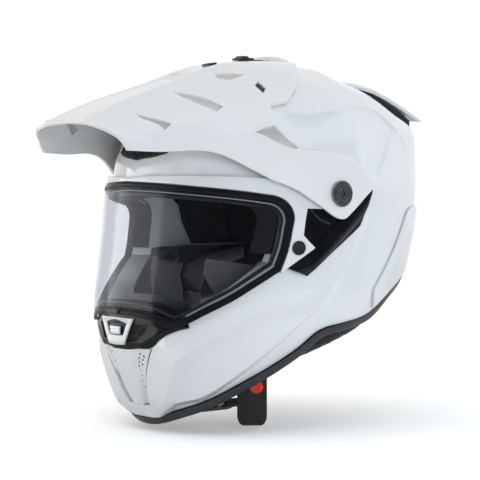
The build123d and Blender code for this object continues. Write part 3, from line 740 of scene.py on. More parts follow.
BROW = [(0, 47), (31, 47), (35, 35.6), (21.2, 32.1), (7, 30.4), (0, 29.4)]
BLADE = [(-42.6, -63.6), (-24.1, -71.1), (-6, -55.8), (30.1, -28.5), (41.9, 4.0), (9.1, -20.2), (-18.8, -45.6)]
BASE = [(-30, -3), (-31.5, -36), (-24.5, -45), (-17, -49.5), (-8, -42), (14, -21), (30, -8), (32, 2), (0, 2), (-20, -3)]
REAR_PANEL = [(108.3, -18), (84.1, -56.4), (60.1, -87.3), (62.6, -103.6), (96.3, -86), (122, -75.4), (150, -69.5), (215, -66.5), (215, -12), (118, -13)]

# ------------------------------------------------------------------ the peak's own chart
PEAK = np.array([
    [-198, 61.5, 50, 63, 37, 14],
    [-170, 74.2, 52, 68, 36, 20],
    [-140, 85.5, 56, 78, 35.5, 27],
    [-101, 97.5, 63, 92.2, 34.2, 34],
    [-76, 106.4, 69, 106.4, 21, 48],
    [-53, 114.2, 73, 122.0, 7, 64],
    [-29, 120.0, 78, 131.2, -7, 82],
    [-10, 121.9, 88, 136.2, -24, 104],
    [10, 122.8, 94, 138.2, -28, 110],
    [40, 122.4, 97, 139.6, -10, 96],
    [75, 118.4, 97, 136, 10, 78],
])
QS = 190.0


def peak_surf(p, d=0.0):
    """Peak points for chart points (q, y): q is the share of the section from the centre, times QS."""
    p = np.asarray(p, float)
    y = np.clip(p[:, 1], -198, 75)
    v = np.clip(np.abs(p[:, 0]) / QS, 0, 1)
    c = spline(PEAK[:, 0], PEAK[:, 1:], y)
    zc, h1, xe, ze, h2 = [c[:, k] for k in range(5)]
    zc, xe = zc + d, xe + d
    b0, b1, b2, b3 = (1 - v)**3, 3 * v * (1 - v)**2, 3 * v * v * (1 - v), v**3
    x = b1 * h1 + (b2 + b3) * xe
    z = (b0 + b1) * zc + b2 * (ze + h2) + b3 * ze
    return np.stack([x * np.where(p[:, 0] < 0, -1, 1), y, z], -1)


VQ = np.linspace(0, 1, 400)


def peak_side(pts):
    out = []
    for y, z in pts:
        g = peak_surf(np.stack([VQ * QS, np.full(400, y)], 1))
        out.append((QS * np.interp(-z, -g[:, 2], VQ), y))
    return np.array(out)


def peak_plan(pts):
    out = []
    for q in pts:
        x, y = q[0], q[1]
        g = peak_surf(np.stack([VQ * QS, np.full(400, max(-198, y))], 1))
        out.append((QS * np.interp(x, g[:, 0], VQ), y))
    return np.array(out)


front = peak_plan([(0, -196.6), (28, -195.8), (48, -193.6), (58, -188.5), (63, -183), (66, -176.5)])
front[-1, 0] = QS
edge = np.array([(QS, y) for y in (-160, -140, -120, -100, -80, -60)])
lower = peak_side([(-53.6, 8.5), (-28.9, -5.3), (-14.9, -14.8), (-7, -19.8), (-1, -21.9), (4.5, -21.6), (11.3, -16.8), (25.3, -4.7), (38, 5.8)])
rear = peak_side([(40.2, 9.6), (26, 24.3), (11.1, 33.8), (-10.4, 36.6), (-33.2, 37.8), (-42, 44), (-52.5, 58), (-51, 68), (-47.8, 76.9), (-31.5, 80.2), (-16.1, 92.8)])
tongue = peak_plan([(76, 0.7), (55, 19), (30, 39), (12, 53), (0, 60)])
half_pk = np.concatenate([front, edge, lower, rear, tongue])
half_pk[0, 0] = half_pk[-1, 0] = 0.0
PK = smooth(both(half_pk), 2.4, True, 30)
PK_HALF = smooth(half_pk, 2.4, True, 30)


UPPER_EDGE = smooth(np.concatenate([rear, tongue]), 2.0, False, 30)
LOWER_EDGE = smooth(np.concatenate([edge, lower]), 2.0, False, 30)


def peak_target():
    """The peak's outer surface carried on past its own edges, to read how far the shell lies beneath it."""
    qs = np.arange(0, QS + 0.1, 2.0)
    ys = np.arange(-80, 75.1, 2.5)
    rows = []
    for y in ys:
        g = peak_surf(np.stack([qs, np.full(len(qs), y)], 1))
        tail = [(g[-1, 0], y, g[-1, 2] - k) for k in (6, 14, 24, 40)]
        rows.append(np.concatenate([g, tail]))
    k = len(rows[0])
    verts = [Vector(v) for v in np.concatenate(rows).tolist()]
    faces, where = [], []
    for i in range(len(rows) - 1):
        for j in range(k - 1):
            a = i * k + j
            faces.append((a, a + 1, a + k + 1, a + k))
            where.append((min(j, len(qs) - 1) * 2.0 + 1.0, ys[i] + 1.25))
    return BVHTree.FromPolygons(verts, faces), np.array(where)


def flush_lift(v, base, n, tri):
    """How far the crown rises beside the peak's rear edge, so that the two lie flush with a narrow seam."""
    tree, where = peak_target()
    out = np.zeros(len(v))
    cand = np.where((base[:, 1] > -76) & (base[:, 1] < 74) & (base[:, 2] > -6))[0]
    hit, gap, q = [], [], []
    for i in cand:
        b_, d_ = base[i] * [np.sign(base[i, 0]) or 1, 1, 1], n[i] * [np.sign(base[i, 0]) or 1, 1, 1]
        loc, nor, k, dist = tree.ray_cast(Vector(b_ - d_ * 0.5), Vector(d_), 60)
        if loc is not None:
            tau_q = where[k]
            hit.append(i)
            gap.append(dist - 0.5)
            q.append((tau_q[0], loc[1]))
    hit, gap, q = np.array(hit), np.array(gap), np.array(q)
    du, _ = seg_dist(q, UPPER_EDGE)
    dl, _ = seg_dist(q, LOWER_EDGE)
    ins = inside(PK_HALF, q)
    reach = 52.0 - 38.0 * sstep(base[hit][:, 2], 88, 106)
    w_out = np.clip(1 - du / reach, 0, 1) * sstep(dl - du, 0, 16)
    w_in = 1 - sstep(du, 8, 24)
    out[hit] = np.where(ins, w_in, w_out) * np.maximum(gap - 3.7, 0)
    cap = np.full(len(v), 1e3)
    cap[hit] = np.where(ins | (du < 2.0), gap - 3.7, np.maximum(gap - 1.0, 0))
    a = np.concatenate([tri[:, [0, 1]], tri[:, [1, 2]], tri[:, [2, 0]]])
    deg = np.maximum(np.bincount(a.ravel(), minlength=len(v)), 1)
    for _ in range(16):
        near = np.bincount(a[:, 0], out[a[:, 1]], len(v)) + np.bincount(a[:, 1], out[a[:, 0]], len(v))
        out = 0.5 * out + 0.5 * near / deg
    return out, cap


# ------------------------------------------------------------------ outer shell
RIDGE1 = smooth(chart3([(20, -110.5, -200), (26.5, -111.3, -192.2), (42.5, -115.4, -166.4), (54, -116.4, -143.5), (67.4, -107, -132.2), (95.9, -72.5, -106.7), (114.5, -29.4, -83.5), (119.5, -8, -68)]), 3.0, False, 30)
GROOVE = smooth(chart3([(26, -111.5, -197), (30.5, -109.9, -191), (62.6, -91.3, -176.9), (89.5, -66.1, -151.8), (110.8, -26.2, -115.2), (117.5, -0.6, -92.4), (120, 11.3, -76.9), (124, 32.7, -36.7), (125.6, 46, -2), (124, 49.7, 10.2)]), 3.0, False, 40)
CROWN = smooth(chart3([(94, -38, 66), (105.6, -11.5, 68), (107.2, 19.1, 73.2), (101.8, 54.5, 78), (99, 84, 70), (101.5, 100.3, 54.5), (107.8, 87.8, 50.5), (119.3, 66.5, 27.4), (124, 49.7, 10.2)]), 3.0, False, 40)
BROW_L = smooth(chart3([(0, -124.5, 24), (30, -120, 26), (56, -108, 30), (76, -90, 27), (96, -70, 18)]), 3.0, False, 30)


def shell_disp(v, base):
    p = np.stack([np.abs(v[:, 0]), v[:, 1]], 1)
    out = np.zeros(len(p))
    # long ridge of the chin bar: a face rising from the port, a narrow bevel, then the broad lower face
    d, t = seg_dist(p, RIDGE1, signed=True)
    win = 1 - sstep(t, 0.86, 1.0)
    up = np.where(d > 0, 5.5 * np.clip(1 - d / 27, 0, 1), np.where(d > -9, 5.5 + d / 9 * 4.7, 0.8))
    out += up * win * sstep(t, 0.0, 0.12)
    # stepped groove under it
    d, t = seg_dist(p, GROOVE, signed=True)
    win = 1 - sstep(t, 0.90, 1.0)
    step = -4.4 * np.clip((-d + 3.2) / 6.4, 0, 1) * (1 - np.clip((-d - 10) / 42, 0, 1))
    out += (step + 2.4 * np.clip(1 - np.where(d > 3.2, (d - 3.2) / 26, (3.2 - d) / 6.4), 0, 1)) * win
    # crease round the side of the crown
    d, t = seg_dist(p, CROWN, signed=True)
    win = sstep(t, 0.0, 0.10) * (1 - sstep(t, 0.93, 1.0))
    out += (1.1 * np.clip(1 - np.abs(d) / 12.0, 0, 1) - 2.0 * np.clip(-d / 3.0, 0, 1) * (1 - sstep(-d, 8, 34))) * win
    # soft line over the brow
    d, t = seg_dist(p, BROW_L, signed=True)
    out += 1.1 * np.clip(1 - np.abs(d) / 9, 0, 1) * (1 - sstep(t, 0.8, 1.0))
    # the crown falls away each side of its centre line, and is lower under the spoiler
    ax_, y_, z_ = np.abs(base[:, 0]), base[:, 1], base[:, 2]
    side_ = sstep(ax_, 6, 26) * (1 - sstep(ax_, 66, 92)) * sstep(y_, 46, 78) * (1 - sstep(y_, 146, 174)) * sstep(z_, 62, 84)
    under_ = sstep(y_, 110, 124) * (1 - sstep(y_, 148, 176)) * (1 - sstep(ax_, 42, 62)) * sstep(z_, 40, 62)
    out -= 4.3 * np.maximum(side_, under_)
    return out


def shell_piece():
    bot = chart_side([(y, z) for y, z in BOTTOM])
    bot = bot[(bot[:, 0] > 0.5) & (bot[:, 0] < S_MAX - 0.5)]
    zb0 = np.interp(np.interp(-199.3, ZT, TT), TT, HT)
    zbr = np.interp(np.interp(-71.2, ZT, TT), TT, HT)
    bot = smooth(np.concatenate([[[0, zb0]], bot, [[S_MAX, zbr]]]), 2.6, False, 30)      # front centre to rear centre
    port = smooth(grow(LENS_C, PORT_D), 2.2, True, 34.0)
    port = port[port[:, 0] >= -1e-6]
    k = int(np.argmax(port[:, 1] * (port[:, 0] < 3)))      # starts at the top centre and runs round
    port = np.roll(port, -k, 0)
    if port[5, 1] < port[-5, 1] and port[5, 0] < 1:
        port = port[::-1]
    port[0, 0] = port[-1, 0] = 0.0
    hs = chart_front(CHIN_HOUSING)
    pn = chart_front(CHIN_PANEL)
    # chin cut-out: from the panel's foot, up its side, round the housing's side, to the housing's outer corner
    cut = np.array([pn[4] + [0, -0.6], pn[3] + [0.8, -0.6], pn[2] + [1.5, 0], pn[1] + [1.4, -0.6], hs[9] + [0.4, -0.5], hs[8] + [0.4, -0.5], hs[7] + [0.3, -0.5], hs[6] + [0.3, -0.5], hs[5] + [0.8, -0.4], hs[4] + [0.6, 0.6]])
    cut[0, 0] = 0.0
    cut = smooth(cut, 2.2, False, 25)
    # the port is joined to the cut-out: keep the port's side from its top centre down to near the housing's corner
    corner = cut[-1]
    j = int(np.argmin(((port - corner)**2).sum(1)))
    port_up = port[:j + 1][::-1]
    top = [[0, H_MAX - 0.01], [S_MAX, H_MAX - 0.01]]
    outer = np.concatenate([[[0, zb0]], cut, port_up])
    front_up = dense([[0, port[0, 1]], [0, H_MAX - 0.01]], 4, False)[1:]
    over = dense(top, 6, False)[1:]
    down = dense([[S_MAX, H_MAX - 0.01], [S_MAX, zbr]], 4, False)[1:]
    outer = np.concatenate([outer, front_up, over, down, bot[::-1][1:-1]])
    up3 = chart3(peak_surf(UPPER_EDGE)[::2])
    feats = [(RIDGE1, (0.0, -9.0)), (GROOVE, (-3.2, 0.0, 3.2)), (CROWN, (-3.0, 0.0, 3.0))]
    v, tri, dist = triangulate(outer, (), 0.9, 2.7, feats)
    axis = (v[:, 0] < 1e-4) | (v[:, 0] > S_MAX - 1e-4) | (v[:, 1] > H_MAX - 0.02)
    loop = outer[(outer[:, 0] > 1e-4) & (outer[:, 0] < S_MAX - 1e-4) & (outer[:, 1] < H_MAX - 0.02)]
    real = seg_dist(v, np.concatenate([[[0, zb0]], cut, port_up]))[0]
    real = np.minimum(real, seg_dist(v, bot)[0])
    n = normals(v, 0.0)
    n[v[:, 0] < 1e-4, 0] = 0
    n[v[:, 0] > S_MAX - 1e-4, 0] = 0
    base = surf(v, 0.0)
    base[v[:, 0] < 1e-4, 0] = 0
    base[v[:, 0] > S_MAX - 1e-4, 0] = 0
    rise, cap = flush_lift(v, base, n, tri)
    # the rear corner of the crown is fuller than the plain form
    corner_ = sstep(n @ np.array([0.629, 0.777, 0.0]), 0.72, 0.95) * np.exp(-((base[:, 2] - 58) / 17)**2)
    lift = np.minimum(shell_disp(v, base) + rise, cap) + 5.5 * corner_ - rim_drop(real, 0.7)
    top_v = base + n * lift[:, None]
    under = surf(v, -4.0) + n * np.minimum(0, lift + 3.65)[:, None]
    under[v[:, 0] < 1e-4, 0] = 0
    under[v[:, 0] > S_MAX - 1e-4, 0] = 0
    e = np.concatenate([tri[:, [0, 1]], tri[:, [1, 2]], tri[:, [2, 0]]])
    es = np.sort(e, 1)
    _, idx, cnt = np.unique(es, axis=0, return_index=True, return_counts=True)
    bd = e[idx[cnt == 1]]
    bd = bd[~(axis[bd[:, 0]] & axis[bd[:, 1]])]
    K = len(v)
    faces = [tuple(t) for t in tri] + [tuple(t[::-1] + K) for t in tri] + [(a, a + K, b + K, b) for a, b in bd]
    verts = np.concatenate([top_v, under])
    mv, mf = flipped(verts, faces)
    verts, faces = join([(verts, faces), (mv, mf)])
    o = new_object("shell_outer", verts, faces, M["white"], "helmet", "outer_shell", None)
    import bmesh
    bm = bmesh.new()
    bm.from_mesh(o.data)
    bmesh.ops.remove_doubles(bm, verts=bm.verts, dist=0.00002)
    bmesh.ops.dissolve_degenerate(bm, dist=1e-7, edges=bm.edges)
    bm.to_mesh(o.data)
    bm.free()
    o.data.set_sharp_from_angle(angle=math.radians(40))
    return bot


BOT = shell_piece()

# ------------------------------------------------------------------ lower edge trim: a rounded rubber channel along the shell's edge
def trim_piece():
    half = BOT.copy()
    loop = np.concatenate([half, (half[1:-1] * [-1, 1])[::-1]])
    p = surf(loop, -1.4)
    n = normals(loop)
    n[0, 0] = 0
    t = np.roll(p, -1, 0) - np.roll(p, 1, 0)
    t /= np.linalg.norm(t, axis=1, keepdims=True)
    dn = np.cross(n, t)
    dn /= np.linalg.norm(dn, axis=1, keepdims=True)
    dn *= np.sign(-dn[:, 2:3])
    rings = []
    prof = [(2.7, -0.6), (3.0, 0.6), (2.9, 2.5), (2.3, 5.2), (1.2, 7.0), (-0.6, 7.6), (-2.4, 7.0), (-3.4, 5.2), (-3.8, 2.5), (-3.8, 0.2), (-3.2, -1.2), (-2.6, -0.2), (-2.4, 0.6), (0.2, 0.8), (1.5, 0.5), (1.9, -0.4)]
    for a, b in prof:
        rings.append(p + n * a * 0.9 + dn * b)
    k = len(loop)
    verts = np.concatenate(rings)
    faces = []
    for i in range(len(prof)):
        j = (i + 1) % len(prof)
        for q in range(k):
            w = (q + 1) % k
            faces.append((i * k + q, i * k + w, j * k + w, j * k + q))
    return new_object("edge_trim", verts, faces, M["trim"], "helmet", "neck_trim", 60)


trim_piece()

# ------------------------------------------------------------------ eye port gasket, shield, border and frame
port_outer = lens_loop(PORT_D - 0.4)
port_inner = lens_loop(PORT_D - 2.9)
patch("port_gasket", port_outer, M["rubber"], [port_inner], d=2.3, thick=7.6, rim=0.9, step=2.0, node="eyeport_gasket")

# the skirt's cut faces take the foam finish's painted near-black shade
patch("port_skirt", lens_loop(PORT_D - 1.3, 2.6), M["foam"], [lens_loop(PORT_D - 2.7, 2.6)], d=-5.5, thick=20.5, rim=0.3, step=2.4)

lens_edge = lens_loop(-6.1)
patch("shield_glass", lens_edge, M["lens"], d=5.5, thick=2.0, rim=0.4, step=4.0, body="shield", node="shield_lens", sharp=30)

b_out, b_in = lens_loop(-0.3), lens_loop(-6.6)


def border_disp(v, base):
    d = seg_dist(v, b_out, closed=True)[0]
    return -1.1 * sstep(d, 3.4, 4.2) + 0.25 * np.exp(-((d - 2.2) / 1.1)**2)


patch("shield_border", b_out, M["border"], [b_in], d=5.9, thick=2.6, rim=0.6, step=1.6, disp=border_disp, feats=(), body="shield", node="shield_seal", rings=(0.12, 0.4, 1.0, 3.5, 5.2, 6.2, 7.0))

# frame: the white strip over the border with its side plates and hubs
L_OUT = grow(LENS_C, 0.35)
half_lens = LENS_H.copy()
n_half = len(half_lens)
inner_edge = L_OUT[:n_half]
inner_edge[0, 0] = 0
stop = 11                                       # the border's lower rear corner
frame_out = chart_side([(-124, 14.5), (-104, 15.3), (-76.4, 14.4), (-52, 13.0), (-30, 12.5), (-15, 12.5)])
hub_ring = chart_side([(15.2 * math.sin(math.radians(a)), 15.2 * math.cos(math.radians(a))) for a in np.arange(-30, 215, 15)])
rear_edge = chart_side([(-14, -13), (-26.4, -12.6), (-28.1, -22.6), (-29.6, -35.5), (-22.9, -42.5), (-18.5, -46.4), (-34.3, -57.4), (-48.8, -67.8)])
top_c = np.array([[0, np.interp(np.interp(14.2, ZT, TT), TT, HT)]])
half_frame = np.concatenate([top_c, frame_out, hub_ring, rear_edge])
half_frame = smooth(half_frame, 2.2, False, 30)
inner_dense = smooth(inner_edge[:stop + 1], 2.2, False, 34)[::-1]
half_loop = np.concatenate([half_frame, inner_dense])
half_loop[-1, 0] = 0.0
frame_loop = both(half_loop)
pivot_h = chart_side([(0, 0)])[0]
pin_h = chart_side([(-35.9, -46.6)])[0]


def frame_disp(v, base):
    q = np.stack([np.abs(v[:, 0]), v[:, 1]], 1)
    r = np.linalg.norm(q - pivot_h, axis=1)
    raise_hub = (130.2 - np.abs(base[:, 0])) * (1 - sstep(r, 14.2, 17.5))
    d = seg_dist(q, inner_edge)[0]
    return np.where(r < 19, raise_hub, 0) - 0.25 * np.exp(-((d - 3.0) / 0.8)**2)


patch("shield_frame_white", frame_loop, M["white"], d=5.5, thick=1.9, rim=0.6, step=2.2, disp=frame_disp, body="shield", node="shield_frame")

# ------------------------------------------------------------------ pivot base, side blades
for side, s in (("left", 1), ("right", -1)):
    def blade_disp(v, base):
        mid = chart_side([(-36, -66.5), (-20, -60), (4, -36), (34, -8), (41, 2)], s)
        d, t = seg_dist(v, mid)
        low = chart_side([(-24, -70.5), (-6, -55.2), (30, -28)], s)
        dl, _ = seg_dist(v, low)
        return 0.2 - 2.4 * sstep(d, 2.2, 9.0) - 1.0 * sstep(dl, 6.0, 0.5) * 0.6 + 0.5 * np.exp(-(d / 1.2)**2)

    bl = smooth(chart_side(BLADE, s), 1.5, True, 26)
    patch("side_blade_" + side, bl, M["gloss"], d=6.4, thick=5.6, rim=0.7, step=1.3, disp=blade_disp, node="side_vent_" + side, inward=False, sharp=28)
    bs = smooth(grow(chart_side([(y, z) for y, z in BASE], s), -0.0), 1.8, True, 26)
    patch("pivot_plate_" + side, bs, M["gloss"], d=2.8, thick=2.1, rim=0.5, step=2.0, node="pivot_base_" + side)
    teeth = []
    for a in np.arange(188, 262, 3.4):
        a0 = math.radians(a)
        r0, r1 = 24.6, 27.2
        y, z = 26.0 * math.cos(a0), 26.0 * math.sin(a0)
        c = surf(chart_side([(y, z)], 1), 2.8)[0]
        w, l, hgt = 0.3, 0.95, 0.6
        er = np.array([0, math.cos(a0), math.sin(a0)])
        et = np.array([0, -math.sin(a0), math.cos(a0)])
        ring = []
        for dx, k in ((-0.4, 1.0), (hgt * 0.6, 1.0), (hgt, 0.55)):
            ring.append([c + er * l * i * k + et * w * j * k * 1.3 + np.array([dx, 0, 0]) for i, j in ((-1, -1), (1, -1), (1, 1), (-1, 1))])
        teeth.append(loft(ring))
    tv, tf = join(teeth)
    if s < 0:
        tv, tf = flipped(tv, tf)
    new_object("pivot_teeth_" + side, tv, tf, M["titan"], "helmet", (), 30)

# ------------------------------------------------------------------ screws, pins
prof = [(136.95, 0.0), (136.95, 10.9), (137.3, 11.4), (138.5, 11.4), (139.0, 11.1), (139.3, 10.5), (139.3, 9.6), (138.9, 9.3), (138.9, 8.7), (139.2, 8.4), (139.2, 6.6), (138.7, 6.2), (138.7, 4.9), (139.0, 4.6), (139.0, 3.4), (137.7, 3.1), (137.7, 0.0)]
sv, sf = lathe(prof, 96)
lobes = []
for k in range(6):
    a = k * math.pi / 3
    c = np.array([0, 2.9 * math.cos(a), 2.9 * math.sin(a)])
    pv, pf = lathe([(137.6, 0), (137.6, 0.75), (138.8, 0.75), (138.95, 0.6), (138.95, 0)], 16)
    lobes.append((pv + c, pf))
for k in range(3):
    a = math.radians(90 + 120 * k)
    pv, pf = lathe([(139.0, 0), (139.0, 0.9), (139.35, 0.9), (139.45, 0.7), (139.45, 0)], 20)
    lobes.append((pv + np.array([0, 7.5 * math.cos(a), 7.5 * math.sin(a)]), pf))
bv, bf = lathe([(139.15, 0), (139.15, 2.0), (139.3, 2.2), (139.3, 2.2), (139.3, 0)], 32)
shank_v, shank_f = lathe([(113.2, 0), (113.2, 2.9), (136.95, 2.9), (136.95, 0)], 32)
scr = join([(sv, sf), (shank_v, shank_f)] + lobes)
new_object("screw_left", scr[0], scr[1], M["titan"], "helmet", "peak_screw_left", 35)
fv, ff = flipped(*scr)
new_object("screw_right", fv, ff, M["titan"], "helmet", "peak_screw_right", 35)
PIN_P, PIN_N = np.array((121.6, -35.9, -46.6)), np.array((0.9526, -0.3015, -0.0403))
ax = frame_axes(PIN_N)
pv, pf = lathe([(-1.7, 0), (-1.7, 2.9), (0.3, 2.9), (0.3, 6.0), (0.5, 6.2), (1.1, 6.2), (1.45, 5.9), (1.55, 5.4), (1.25, 4.6), (1.15, 3.0), (1.15, 0)], 48)
pv = PIN_P + pv @ ax
q = flipped(pv, pf)
allpin = join([(pv, pf), q])
new_object("shield_studs", allpin[0], allpin[1], M["rubber"], "shield", "shield_pins", 35)

# ------------------------------------------------------------------ chin vent
HH = smooth(both(chart_front(CHIN_HOUSING)), 1.6, True, 26)
BZ = smooth(both(chart_front(BEZEL)), 1.4, True, 30)
PG = smooth(both(chart_front(PENTAGON)), 1.4, True, 24)
BT = smooth(both(chart_front(BUTTON)), 1.2, True, 40)
MS = smooth(chart_front(MESH), 1.4, True, 40)


def housing_disp(v, base):
    q = np.stack([np.abs(v[:, 0]), v[:, 1]], 1)
    d = seg_dist(q, MS, closed=True)[0]
    mid = chart_front([(28, -131), (44, -121), (60, -114)])
    dm, t = seg_dist(q, mid)
    return 0.5 * np.exp(-((d - 1.2) / 0.9)**2) + 1.2 * np.exp(-(dm / 5.0)**2)


patch("chin_housing", HH, M["gloss"], [MS, (MS * [-1, 1])[::-1], grow(PG, -1.4)], d=2.0, thick=5.0, rim=0.6, step=1.7, disp=housing_disp, node="chin_vent_housing", sharp=35)
patch("chin_bezel", BZ, M["silver"], [PG], d=5.0, thick=2.3, rim=0.7, step=1.3, node="chin_vent_bezel", sharp=35,
      disp=lambda v, base: -1.0 * sstep(seg_dist(v, PG, closed=True)[0], 5.5, 1.0))
patch("chin_recess", grow(PG, -0.25), M["gloss"], [], d=2.2, thick=2.0, rim=0.3, step=1.6,
      disp=lambda v, base: 0.5 * np.exp(-((seg_dist(v, PG, closed=True)[0] - 1.2) / 0.8)**2))
patch("chin_button", BT, M["white"], d=5.4, thick=2.1, rim=0.8, step=1.0, body="chin_button", node="chin_vent_button",
      disp=lambda v, base: 0.12 * np.cos(v[:, 1] * 2.2))


def grille():
    """A square net inside the vent windows."""
    parts = []
    lo, hi = MS.min(0), MS.max(0)
    for k in np.arange(lo[0] + hi[1] * 0 - 20, hi[0] + 20, 2.1):
        for ang in (35, -35):
            dirv = np.array([math.sin(math.radians(ang)), math.cos(math.radians(ang))])
            c0 = np.array([k, (lo[1] + hi[1]) / 2])
            tt = np.arange(-16, 16.1, 0.8)
            pts = c0 + tt[:, None] * dirv
            m = inside(grow(MS, 0.8), pts)
            run = []
            for q, w in zip(pts, m):
                if w:
                    run.append(q)
                elif len(run) > 1:
                    parts.append(tube_on(np.array(run), 0.9 if ang > 0 else 0.55, 0.3))
                    run = []
            if len(run) > 1:
                parts.append(tube_on(np.array(run), 0.9 if ang > 0 else 0.55, 0.3))
    return join(parts)


def tube_on(run, d, r, seg=6):
    p, n = surf(run, 0.0) + normals(run) * d, normals(run)
    t = np.gradient(p, axis=0)
    t /= np.linalg.norm(t, axis=1, keepdims=True)
    b = np.cross(n, t)
    rings = [[p[i] + r * (math.cos(a) * n[i] + math.sin(a) * b[i]) for a in np.arange(seg) * 2 * math.pi / seg] for i in range(len(p))]
    return loft(rings)


gv = grille()
g2 = flipped(*gv)
gg = join([gv, g2])
new_object("chin_grille", gg[0], gg[1], M["satin"], "helmet", "chin_vent_mesh", 60)
patch("chin_vent_back", grow(MS, 1.6), M["satin"], d=-2.0, thick=1.0, rim=0, step=3, mirror=True)

PN = both(chart_front(CHIN_PANEL))
PN_S = smooth(PN, 1.5, True, 20)
holes = []
for i, (x, z) in enumerate([(21.5, -140.6), (25.3, -142.6), (19.4, -144.2), (23.0, -145.9), (18.9, -147.9), (21.4, -150.1), (17.2, -151.6), (17.6, -155.6), (17.0, -160.4), (16.4, -165.4), (15.4, -171.0)]):
    r = 1.05 if i < 7 else 0.7
    c = chart_front([(x, z)])[0]
    ring = c + r * np.stack([np.cos(np.arange(10) * 0.6283), np.sin(np.arange(10) * 0.6283)], 1)
    holes += [ring, (ring * [-1, 1])[::-1]]
PF = smooth(chart_front([(12.5, -137), (17.0, -143), (12.0, -153), (13.5, -166), (8.0, -188)]), 2, False, 30)


def panel_disp(v, base):
    q = np.stack([np.abs(v[:, 0]), v[:, 1]], 1)
    d, t = seg_dist(q, PF, signed=True)
    return -2.4 * sstep(d, -2.4, 0.6) * (1 - sstep(d, 9, 17)) * sstep(t, 0.0, 0.12) + 0.7 * np.exp(-((d + 3.0) / 4)**2)


patch("chin_panel", PN_S, M["white"], holes, d=0.4, thick=3.2, rim=0.6, step=1.5, disp=panel_disp, feats=[(PF[::2], (-2.4, 0.6))], node="chin_lower_panel", sharp=35)
patch("chin_panel_back", grow(PN, -1.5), M["satin"], d=-3.2, thick=0.8, rim=0, step=4)

# the tab that lifts the shield
TB = smooth(both(chart_front([(0, -99.4), (9, -99.6), (7, -104.2), (0, -104.4)])), 1.2, True, 40)
patch("shield_lift_tab", TB, M["satin"], d=8.4, thick=2.4, rim=0.9, step=1.2, body="shield", node="shield_tab")

# ------------------------------------------------------------------ brow vent
BR = both(chart_front(BROW))
BR_S = smooth(BR, 1.8, True, 24)


def brow_disp(v, base):
    d = seg_dist(v, BR_S, closed=True)[0]
    bars = 0.5 + 0.5 * np.cos(v[:, 0] * 2 * math.pi / 5.0)
    return -0.9 * sstep(d, 1.2, 2.4) + 0.5 * sstep(bars, 0.70, 0.95) * sstep(d, 2.2, 3.2)


patch("brow_vent", BR_S, M["gloss"], d=1.8, thick=4.6, rim=0.6, step=1.0, disp=brow_disp, node="brow_vent_insert", sharp=35)

# ------------------------------------------------------------------ rear vent panel
rp = chart_side(REAR_PANEL)
rp_half = [q for q in rp if q[0] < S_MAX - 1]
lowpt = np.interp(np.interp(-67.2, ZT, TT), TT, HT)
toppt = np.interp(np.interp(-12.0, ZT, TT), TT, HT)


def centred_rear(v):
    """Chart points measured from the rear centre line."""
    out = v.copy()
    out[:, 0] = S_MAX - v[:, 0]
    return out


half_r = centred_rear(chart_side([(118, -13), (108.3, -18), (84.1, -56.4), (60.1, -87.3), (62.6, -103.6), (96.3, -86), (122, -75.4), (150, -69.5)]))
half_r = np.concatenate([[[0, toppt]], half_r, [[0, lowpt]]])
RP = smooth(both(half_r), 2.2, True, 24)


def surf_rear(p, d=0.0):
    p = np.asarray(p, float)
    s = np.where(p[:, 0] >= 0, S_MAX - p[:, 0], -(S_MAX + p[:, 0]))
    return surf(np.stack([s, p[:, 1]], 1), d)


RL = smooth(centred_rear(chart_side([(66, -97), (90, -62), (112, -34), (150, -30), (181, -29)])), 3, False, 30)
RL[-1, 0] = 0


def rear_disp(v, base):
    q = np.stack([np.abs(v[:, 0]), v[:, 1]], 1)
    d, t = seg_dist(q, RL, signed=True)
    slot = ((np.abs(v[:, 0]) > 26) & (np.abs(v[:, 0]) < 84)) * 1.0
    ds = np.abs(v[:, 1] - (toppt - 34 - 0.06 * np.abs(v[:, 0])))
    ends = sstep(np.abs(v[:, 0]), 24, 30) * (1 - sstep(np.abs(v[:, 0]), 78, 86))
    return 0.9 * np.exp(-(np.abs(d) / 6)) - 1.6 * (1 - sstep(ds, 2.6, 4.2)) * ends


# the chart runs the other way here, so the piece is built from its mirror image
verts, faces, vv, NN = build_patch(RP, (), 3.0, 2.4, 0.8, 2.2, None, (), True, False, surf_rear)
n_test = normals(vv, 3.0, f=surf_rear)
base_r = surf_rear(vv, 3.0)
out_dir = base_r - np.array([0, 20, -40])
flip_n = np.sign((n_test * out_dir).sum(1).mean())
dist_r = seg_dist(vv, RP, closed=True)[0]
lift_r = rear_disp(vv, base_r) - rim_drop(dist_r, 0.8)
verts[:NN] = base_r + flip_n * n_test * lift_r[:, None]
verts[NN:] = base_r - flip_n * n_test * 2.4
if flip_n < 0:
    faces = [tuple(q)[::-1] for q in faces]
new_object("rear_panel", verts, faces, M["white"], "helmet", "rear_vent_panel", 40)

